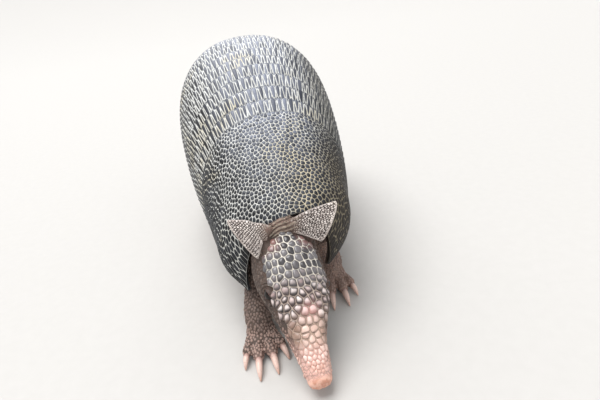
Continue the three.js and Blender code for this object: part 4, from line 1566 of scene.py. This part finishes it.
def shapeEye(places, axes):
    # The skin opens in an almond over the eyeball, with a lid round it and folds round the lid
    centre, out, ahead, above = axes
    away = places - centre
    p, q, h = away @ ahead, away @ above, away @ out
    q = q - eye["slant"] * p
    longShare, tallShare = p / eye["lidLong"], q / eye["lidTall"]
    spread = np.sqrt(longShare**2 + tallShare**2 + 1e-9)
    almond = np.sqrt(longShare**2 + (tallShare / np.clip(1 - 0.45 * longShare**2, 0.3, 1)) ** 2)
    reach = np.sqrt(p**2 + q**2)
    ball = np.sqrt(np.maximum(eye["radius"] ** 2 - reach**2, 0.2))
    near = (h > -2) & (reach < 11)
    inside = 1 - smooth(0.86, 1.04, almond)
    lid = smooth(0.9, 1.12, almond) * (1 - smooth(1.5, 2.5, spread))
    goal = np.where(reach < 4.4, ball + 0.55, h)
    target = h + (np.maximum(goal, h) + 0.25 - h) * lid
    folds = np.sin(2 * np.pi * (reach - 4.2) / 2.1) * smooth(4.4, 5.6, reach) * (1 - smooth(7.5, 10.5, reach))
    target = (target + 0.38 * folds) * (1 - inside) + (ball - 1.3) * inside
    return np.where(near, target - h, 0)[:, None] * out[None, :]


def shapeSnout(places, normals):
    # The line of the mouth with its upper lip, the nostrils with their rims, and the flare of the nose
    along, left, up = headCoordinates(places)
    line = mouthLine(along)
    groove = np.exp(-((up - line) / 0.75) ** 2) * smooth(0.44, 0.52, along)
    groove *= (1 - smooth(0.955, 0.985, along)) * smooth(2.0, 4.0, np.abs(left))
    lip = np.exp(-((up - line - 2.0) / 1.2) ** 2) * smooth(0.46, 0.56, along)
    lip *= 1 - smooth(0.95, 0.98, along)
    flare = np.exp(-((along - 0.972) / 0.016) ** 2) - 0.8 * np.exp(-((along - 0.935) / 0.014) ** 2)
    move = normals * (0.35 * lip - 1.15 * groove + 0.45 * flare * (along > 0.88))[:, None]
    for side in (-1, 1):
        pit = np.hypot((left - side * 3.3) / 1.5, (up + 12.6 + 0.25 * np.abs(left)) / 1.25)
        rim = 0.35 * np.exp(-((pit - 1.45) / 0.35) ** 2) - 2.4 * (1 - smooth(0.35, 1.15, pit))
        move += forward[None, :] * (rim * smooth(0.955, 0.985, along))[:, None]
    return move


def shapeLimbs(places, normals, apart=5.2, deep=0.55):
    # Creases across the legs, kept off the head
    x, y, z = places.T
    crease = np.abs(np.sin(np.pi * (z + 2.5 * wave(places, 18, 8)) / apart)) ** 0.8 - 0.65
    mask = smooth(13, 19, z) * (1 - smooth(34, 58, z)) * (np.abs(x) > 12)
    mask = mask * (1 - smooth(-0.05, 0.02, headCoordinates(places)[0]) * (y < -128) * (z > 30))
    return normals * (deep * crease * mask)[:, None]


body = remeshed("skin", skinParts())
print("skin remeshed:", len(body.data.polygons), "faces")
refineFace(body)
print("skin refined:", len(body.data.polygons), "faces")
places = placesOf(body)
movePlaces(body, places + raiseNeck(places, normalsOf(body)))
places = placesOf(body)
refine(body, (np.abs(underShield(places)[0]) < 4) & (np.abs(places[:, 0]) < 26) & (places[:, 2] > 68), 1)
places, normals = placesOf(body), normalsOf(body)
move, wrinkles = foldNeck(places, normals)
places = places + move
places += shapeLimbs(places, normals)
places += shapeSnout(places, normals)
for axes in eyes.values():
    places += shapeEye(places, axes)
places += normals * (0.12 * wave(places, 4.5, 21))[:, None]
places[:, 2] = np.maximum(places[:, 2], 0)
movePlaces(body, places)
body.data.shade_smooth()

along, left, up = headCoordinates(places)
inHead = smooth(-0.02, 0.05, along) * (np.abs(left) < 40) * (up > -60)
zones = {
    "snout": smooth(0.62, 0.9, along) * inHead,
    "tip": smooth(0.92, 0.965, along) * inHead,
    "face": inHead,
    "neck": smooth(-0.45, -0.02, -np.abs(along)) * (1 - inHead) * (places[:, 2] > 30),
    "low": 1 - smooth(6, 40, places[:, 2]),
    "lid": np.exp(-((eyeDistance(places) / 4.6) ** 2)),
    "fold": wrinkles,
}
for key, values in zones.items():
    setValues(body.data, key, values)


def skinMaterial():
    material, v = finish("hide")
    zone = {key: v.attribute(key) for key in zones}
    snout, tip, face, fold = (zone[key] for key in ("snout", "tip", "face", "fold"))
    fine, patchy, broad = v.noise(1.2, 4), v.noise(8, 4, 0.6), v.noise(40, 3)
    pebble = v.cells(2.6, "DISTANCE_TO_EDGE")
    mottled = v.noise(3.5, 3, 0.6).ramp(0.35, 0.65)
    base = v.mix(broad, color(150, 126, 114), color(126, 106, 98))
    base = v.mix(patchy.ramp(0.4, 0.7), base, color(166, 138, 124))
    base = v.mix(zone["neck"] * 0.7, base, v.mix(patchy, color(116, 98, 90), color(150, 124, 112)))
    # The head's skin is near black: partly its own dark skin, partly painted shade
    base = v.mix(face * 0.8, base, v.mix(patchy, color(31, 26, 23), color(66, 54, 47)))
    base = v.mix(snout, base, v.mix(patchy, color(232, 192, 180), color(208, 162, 150)))
    base = v.mix(tip, base, v.mix(mottled, color(232, 186, 166), color(198, 142, 120)))
    # Painted light on the neck folds: their tops are lighter as painted highlight, their hollows darker as
    # painted shade
    foldHighlight = v.mix(fine, color(214, 200, 182), color(170, 154, 138))
    base = v.mix(fold.ramp(0.05, 0.4, 0, 0.75), base, foldHighlight)
    base = v.mix(fold.ramp(-0.05, -0.5, 0, 0.8), base, color(58, 48, 42))
    base = v.mix(zone["low"] * (1 - face) * 0.6, base, color(140, 116, 104))
    base = v.mix(zone["lid"] * 0.8, base, color(66, 50, 46))
    base = v.mix((1 - pebble.ramp(0.0, 0.12)) * (1 - tip) * 0.5, base, color(92, 74, 66))
    base = v.mix(fine.ramp(0.5, 0.8, 0, 0.35) * (1 - tip * 0.7), base, color(110, 88, 80))
    rough = 0.62 + fine * 0.2 - tip * 0.2
    height = pebble.ramp(0, 0.3) * (0.75 - tip * 0.55) + fine * 0.25
    soft = {"Subsurface Weight": 0.06, "Subsurface Scale": 0.004}
    return surface(material, base, rough, height, 0.00035, 0.6, soft)


body.data.materials.clear()
body.data.materials.append(skinMaterial())
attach(body, "root")
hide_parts("trunk", "neck", "head", "foreleg_right", "foreleg_left", "hindleg_right", "hindleg_left",
            "forefoot_right", "forefoot_left", "hindfoot_right", "hindfoot_left")
print("skin made:", len(body.data.polygons), "faces")


# Eyes

def eyeMaterial():
    material, v = finish("eye")
    fine = v.noise(0.8, 2)
    pupil = v.mix(fine, color(16, 11, 10), color(28, 20, 17))
    base = v.mix(v.attribute("front").ramp(0.55, 0.62), color(34, 24, 20), pupil)
    return surface(material, base, 0.12 + fine * 0.05, fine, 0.00003, 0.2, {"Specular IOR Level": 0.3})


def makeEye(side, axes, material, count=40, rows=26):
    centre, out, ahead, above = axes
    ring = turnRound(count)[0]
    radius = eye["radius"] - 0.05
    heights = np.linspace(0.05, math.pi - 0.05, rows)
    around = np.cos(ring) * ahead + np.sin(ring) * above
    rings = [centre + radius * (math.cos(a) * out + math.sin(a) * around) for a in heights]
    values = {"front": np.repeat(np.cos(heights), count)}
    piece = loftObject(f"eye{side.capitalize()}", rings, values, material)
    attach(piece, "root")
    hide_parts(f"eye_{side}")


eyeDark = eyeMaterial()
for side, axes in eyes.items():
    makeEye(side, axes, eyeDark)
print("eyes made")


# Coat: small scales and hairs set on the skin

beside = [(dx, dy, dz) for dx in (-1, 0, 1) for dy in (-1, 0, 1) for dz in (-1, 0, 1)]


def spreadOn(made, mask, spacing, seed):
    # Roots at least a spacing apart over the faces whose vertices are all in the mask, and their normals
    made.data.calc_loop_triangles()
    corners = readAll(made.data.loop_triangles, "vertices", 3, np.int64)
    corners = corners[mask[corners].all(axis=1)]
    places, normals = placesOf(made), normalsOf(made)
    a, b, c = (places[corners[:, n]] for n in range(3))
    area = np.linalg.norm(np.cross(b - a, c - a), axis=1) / 2
    dice = np.random.default_rng(seed)
    count = int(area.sum() / spacing**2 * 5)
    pick = dice.choice(len(corners), size=count, p=area / area.sum())
    u, v = dice.random(count), dice.random(count)
    u, v = np.where(u + v > 1, 1 - u, u), np.where(u + v > 1, 1 - v, v)
    spots = a[pick] + (b - a)[pick] * u[:, None] + (c - a)[pick] * v[:, None]
    lean = unit(normals[corners[pick]].mean(axis=1))
    taken, kept = {}, []
    for n, spot in enumerate(spots.tolist()):
        i, j, k = (math.floor(value / spacing) for value in spot)
        others = [other for di, dj, dk in beside for other in taken.get((i + di, j + dj, k + dk), ())]
        if all(math.dist(other, spot) >= spacing for other in others):
            taken.setdefault((i, j, k), []).append(spot)
            kept.append(n)
    return spots[kept], lean[kept]


def scaleTemplate(sides):
    # A low dome with a closed underside: its places, faces and how far up each place is
    rings = [(0.9, -0.5), (1.0, 0.15), (0.72, 0.8)]
    points = [(r * math.cos(a), r * math.sin(a), z) for r, z in rings
              for a in np.linspace(0, 2 * np.pi, sides, endpoint=False)]
    faces = loftFaces(len(rings), sides)
    faces += [[2 * sides + j, 2 * sides + (j + 1) % sides, 3 * sides] for j in range(sides)]
    faces.append(list(range(sides))[::-1])
    rise = [0.0] * sides + [0.3] * sides + [0.85] * sides + [1.0]
    return np.array(points + [(0, 0, 1.0)]), faces, np.array(rise)


def hairTemplate(seed, blades=4, thick=0.016):
    # A few thin tapered hairs that part from one root and bend over
    dice = np.random.default_rng(seed)
    points, faces, rise = [], [], []
    for _ in range(blades):
        turn, lean, length = dice.uniform(-0.6, 0.6), dice.uniform(0.5, 1.0), dice.uniform(0.7, 1.1)
        start = len(points)
        for t in (0, 0.4, 0.75, 1):
            x, z = length * (t * 0.5 + lean * t * t * 0.5), length * (t * 0.75 - 0.35 * lean * t * t)
            centre = np.array([x * math.cos(turn), x * math.sin(turn), z - 0.04 * (t == 0)])
            corners = [(0, math.cos(a), math.sin(a)) for a in (0, 2.094, 4.189)] if t < 1 else [(0, 0, 0)]
            points += [centre + thick * (1 - t) * np.array(corner) for corner in corners]
            rise += [t] * len(corners)
        faces += [[start + i for i in face] for face in loftFaces(3, 3)]
        faces += [[start + 6 + j, start + 6 + (j + 1) % 3, start + 9] for j in range(3)]
        faces.append([start + 2, start + 1, start])
    return np.array(points), faces, np.array(rise)


def boxUnwrap(places, normals):
    # The skin's own shape opened into six sheets, one for each way that it faces
    each = np.arange(len(places))
    axis = np.abs(normals).argmax(axis=1)
    sheet = axis * 2 + (normals[each, axis] > 0)
    low, high = places.min(axis=0), places.max(axis=0)
    share = (places - low) / np.maximum(high - low, 1e-6)
    pairs = np.array([(1, 2), (0, 2), (0, 1)])[axis]
    u, v = (0.02 + 0.96 * share[each, pairs[:, n]] for n in range(2))
    return np.stack([(sheet % 3 + u) / 3, (sheet // 3 + v) / 2], axis=1)


def coatObject(name, mask, look, flow, tone, material):
    # Copies of the look's template over the mask, laid along the flow; flow and tone may follow the roots
    spots, lean = spreadOn(body, mask, look["apart"], look["seeds"][0])
    flow, tone = (part(spots) if callable(part) else part for part in (flow, tone))
    shape, faces, rise = look["template"]
    dice = np.random.default_rng(look["seeds"][1])
    flow = unit(flow - lean * (flow * lean).sum(axis=1, keepdims=True))
    side = np.cross(lean, flow)
    sizes = np.array(look["sizes"], float) * dice.uniform(0.82, 1.12, (len(spots), 1))
    points = (spots[:, None, :] + flow[:, None, :] * (shape[None, :, 0] * sizes[:, :1])[..., None]
              + side[:, None, :] * (shape[None, :, 1] * sizes[:, 1:2])[..., None]
              + lean[:, None, :] * (shape[None, :, 2] * sizes[:, 2:3])[..., None])
    points[..., 2] = np.maximum(points[..., 2], 0)
    count = len(shape)
    allFaces = [[start + i for i in face] for start in range(0, len(spots) * count, count) for face in faces]
    made = meshObject(name, points.reshape(-1, 3), allFaces, {
        "rise": np.tile(rise, len(spots)), "shade": np.repeat(dice.random(len(spots)), count),
        "tone": np.repeat(np.broadcast_to(tone, len(spots)), count)})
    spread = shape[None, :, :2] / np.abs(shape[:, :2]).max() * 0.0015
    flat = (boxUnwrap(spots, lean)[:, None, :] + spread).reshape(-1, 2)
    corners = readAll(made.data.loops, "vertex_index", 1, np.int64)[:, 0]
    made.data.uv_layers.new(name="OFBake").data.foreach_set("uv", flat[corners].astype(np.float32).ravel())
    made.data.materials.append(material)
    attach(made, "root")
    print(name, "made:", len(spots), "roots,", len(made.data.polygons), "faces")


def scaleMaterial():
    material, v = finish("smallScales")
    rise, shade, tone = v.attributes("rise", "shade", "tone")
    fine = v.noise(0.8, 3)
    grey = v.mix(shade, color(72, 62, 57), color(120, 105, 96))
    pink = v.mix(shade, color(244, 208, 194), color(226, 180, 164))
    base = v.mix(tone, grey, pink)
    base = v.mix(rise.ramp(0.9, 0.2) * 0.55, base, color(84, 66, 60))
    base = v.mix(fine.ramp(0.5, 0.8, 0, 0.3), base, color(96, 80, 72))
    return surface(material, base, 0.5 + fine * 0.2, fine, 0.00012, 0.6)


def hairMaterial():
    material, v = finish("hair")
    rise, shade = v.attributes("rise", "shade")
    fine = v.noise(2.0, 2)
    base = v.mix(shade, color(196, 178, 150), color(150, 130, 106))
    base = v.mix(rise.ramp(0.5, 0.0, 0, 0.5), base, color(110, 90, 74))
    return surface(material, base, 0.5 + fine * 0.2, fine, 0.00005, 0.3)


# How far apart they stand, their length, width and height, and their seeds for places and for sizes
coat = {
    "cheek": {"apart": 2.0, "sizes": (1.25, 0.95, 0.42), "template": scaleTemplate(9), "seeds": (31, 3)},
    "snout": {"apart": 1.6, "sizes": (0.85, 0.75, 0.26), "template": scaleTemplate(8), "seeds": (32, 4)},
    "neck": {"apart": 1.9, "sizes": (1.1, 0.8, 0.3), "template": scaleTemplate(8), "seeds": (33, 5)},
    "leg": {"apart": 1.8, "sizes": (1.25, 1.0, 0.34), "template": scaleTemplate(7)},
    "belly": {"apart": 7.0, "sizes": (9, 9, 9), "template": hairTemplate(7), "seeds": (51, 8)},
    "legHair": {"apart": 6.5, "sizes": (6, 6, 6), "template": hairTemplate(9), "seeds": (52, 9)},
}
smallScales, hair = scaleMaterial(), hairMaterial()
places, normals = placesOf(body), normalsOf(body)
x, y, z = places.T
facing = normals[:, 2]
along, left, up = headCoordinates(places)
u = np.clip(along, 0, 1)
half, top, bottom, middle = headSection(u)
above = (up - middle) / np.where(up > middle, top - middle, middle - bottom)
turn = np.abs(np.arctan2(left / half, above)) / np.pi
onHead = (along > 0.0) & (along < 0.985) & (np.hypot(left / half, above) < 1.3)
cheek = onHead & (turn > scutedTurn(u) + 0.008) & (turn < 0.8) & (along < 0.92) & (eyeDistance(places) > 5.6)
cheek &= (np.abs(up - mouthLine(along)) > 1.6) | (along < 0.46)
snout = onHead & (along > 0.8) & (along < 0.95) & (turn > scutedTurn(u) + 0.005) & (turn < 0.62)
neck = (along < -0.015) & (along > -0.42) & (z > 34) & (y < -96) & (np.abs(x) < 44)
belly = (z > 16) & (facing < -0.35) & (y > -90) & (y < 150)
limbs = (z < 50) & (z > 10) & (facing < 0.5) & ~onHead & (np.abs(x) > 14)


def makeLegScales(key, leg):
    # Scales that run down the leg and then forwards over the foot
    foot, turn = leg["foot"], math.radians(leg["turn"])
    near = (np.hypot(x - foot[0], y - foot[1] + 12) < 46) & (z > 1.2) & (z < 52)
    near &= (facing > -0.45) & ~onHead & (np.sign(x) == np.sign(foot[0]))
    ahead, down = np.array([math.sin(turn), -math.cos(turn), 0]), np.array([0, 0, -1.0])

    def flow(spots):
        return ahead * smooth(26, 8, spots[:, 2])[:, None] + down * smooth(8, 26, spots[:, 2])[:, None]

    pair, side = key.split("_")
    look = dict(coat["leg"], seeds=(40 + len(key), 6))
    coatObject(f"{pair}Scales{side.capitalize()}", near, look, flow,
               lambda spots: 0.12 + 0.25 * smooth(16, 4, spots[:, 2]), smallScales)


coatObject("cheekScales", cheek, coat["cheek"], forward,
           lambda spots: smooth(0.5, 0.85, headCoordinates(spots)[0]), smallScales)
coatObject("snoutScales", snout, coat["snout"], forward, 1.0, smallScales)
coatObject("neckScales", neck, coat["neck"], leftward, 0.25, smallScales)
for key, leg in legs.items():
    makeLegScales(key, leg)
coatObject("bellyHair", belly, coat["belly"], np.array([0, 1.0, 0]), 0, hair)
coatObject("legHair", limbs, coat["legHair"], np.array([0, 0.3, -1.0]), 0, hair)
print("coat made")


# Studio

studio = {
    "floor": 2.0,
    "rise": 2.6,
    "slope": 7.0,
    "floorColor": (192, 190, 187),
    "camera": (-0.01355, -0.51643, 0.23187),
    "pitch": -26.18,
    "yaw": 6.05,
    "roll": -8.05,
    "lens": 26.0,
    "sky": (0.82, 0.83, 0.84, 1),
    "skyPower": 0.62,
}
# Where each light comes from, how wide and strong it is, and its tint
lights = {
    "above": {"from": (-0.24, 0.2, 1.0), "spread": 46, "power": 3.1, "tint": (1, 0.99, 0.98)},
    "back": {"from": (-0.1, 0.9, 0.62), "spread": 52, "power": 1.5, "tint": (0.95, 0.97, 1)},
    "front": {"from": (0.35, -0.8, 0.6), "spread": 60, "power": 0.6, "tint": (0.97, 0.98, 1)},
}


def makeFloor(count=96):
    # A round floor that rises smoothly into a wall all round
    flat = studio["floor"]
    profile = [(0.02, 0), (flat * 0.5, 0), (flat, 0)]
    profile += [(flat + studio["slope"] * t, studio["rise"] * t**2) for t in np.linspace(0.05, 1, 20)]
    turns = np.linspace(0, 2 * math.pi, count, endpoint=False)
    points = [(r * math.cos(a), r * math.sin(a), z) for r, z in profile for a in turns]
    faces = loftFaces(len(profile), count) + [list(range(count))[::-1]]
    mesh = bpy.data.meshes.new("floor")
    mesh.from_pydata(points, [], [f[::-1] for f in faces])
    mesh.shade_smooth()
    floor = bpy.data.objects.new("floor", mesh)
    bpy.context.scene.collection.objects.link(floor)
    material, v = finish("studioFloor")
    grain = v.noise(9, 4)
    base = v.mix(grain, color(*studio["floorColor"]), color(*[c - 5 for c in studio["floorColor"]]))
    surface(material, base, grain.ramp(0, 1, 0.75, 0.85), grain, 0.0001, 0.3)
    floor.data.materials.append(material)


def makeCamera():
    # Yaw turns it to its right, pitch turns it up and roll raises its right side
    pitch, yaw, roll = (math.radians(studio[key]) for key in ("pitch", "yaw", "roll"))
    ahead = Vector((math.sin(yaw) * math.cos(pitch), math.cos(yaw) * math.cos(pitch), math.sin(pitch)))
    right = Vector((math.cos(yaw), -math.sin(yaw), 0))
    up = right.cross(ahead)
    x = right * math.cos(roll) + up * math.sin(roll)
    y = up * math.cos(roll) - right * math.sin(roll)
    data = bpy.data.cameras.new("camera")
    data.lens, data.sensor_width, data.clip_start = studio["lens"], 36, 0.01
    camera = bpy.data.objects.new("camera", data)
    turned = Matrix((x, y, -ahead)).transposed().to_4x4()
    camera.matrix_world = Matrix.Translation(studio["camera"]) @ turned
    bpy.context.scene.collection.objects.link(camera)
    bpy.context.scene.camera = camera


def makeLight(name, look):
    # A distant soft light
    data = bpy.data.lights.new(name, "SUN")
    data.angle, data.energy, data.color = math.radians(look["spread"]), look["power"], look["tint"]
    light = bpy.data.objects.new(name, data)
    light.location = look["from"]
    light.rotation_euler = (-light.location).to_track_quat("-Z", "Y").to_euler()
    bpy.context.scene.collection.objects.link(light)


def makeSky():
    sky = bpy.data.worlds.new("studio")
    sky.use_nodes = True
    inputs = sky.node_tree.nodes["Background"].inputs
    inputs["Color"].default_value = studio["sky"]
    inputs["Strength"].default_value = studio["skyPower"]
    bpy.context.scene.world = sky


makeFloor()
makeCamera()
for name, look in lights.items():
    makeLight(name, look)
makeSky()
bpy.context.scene.view_settings.view_transform = "Standard"
print("studio made")
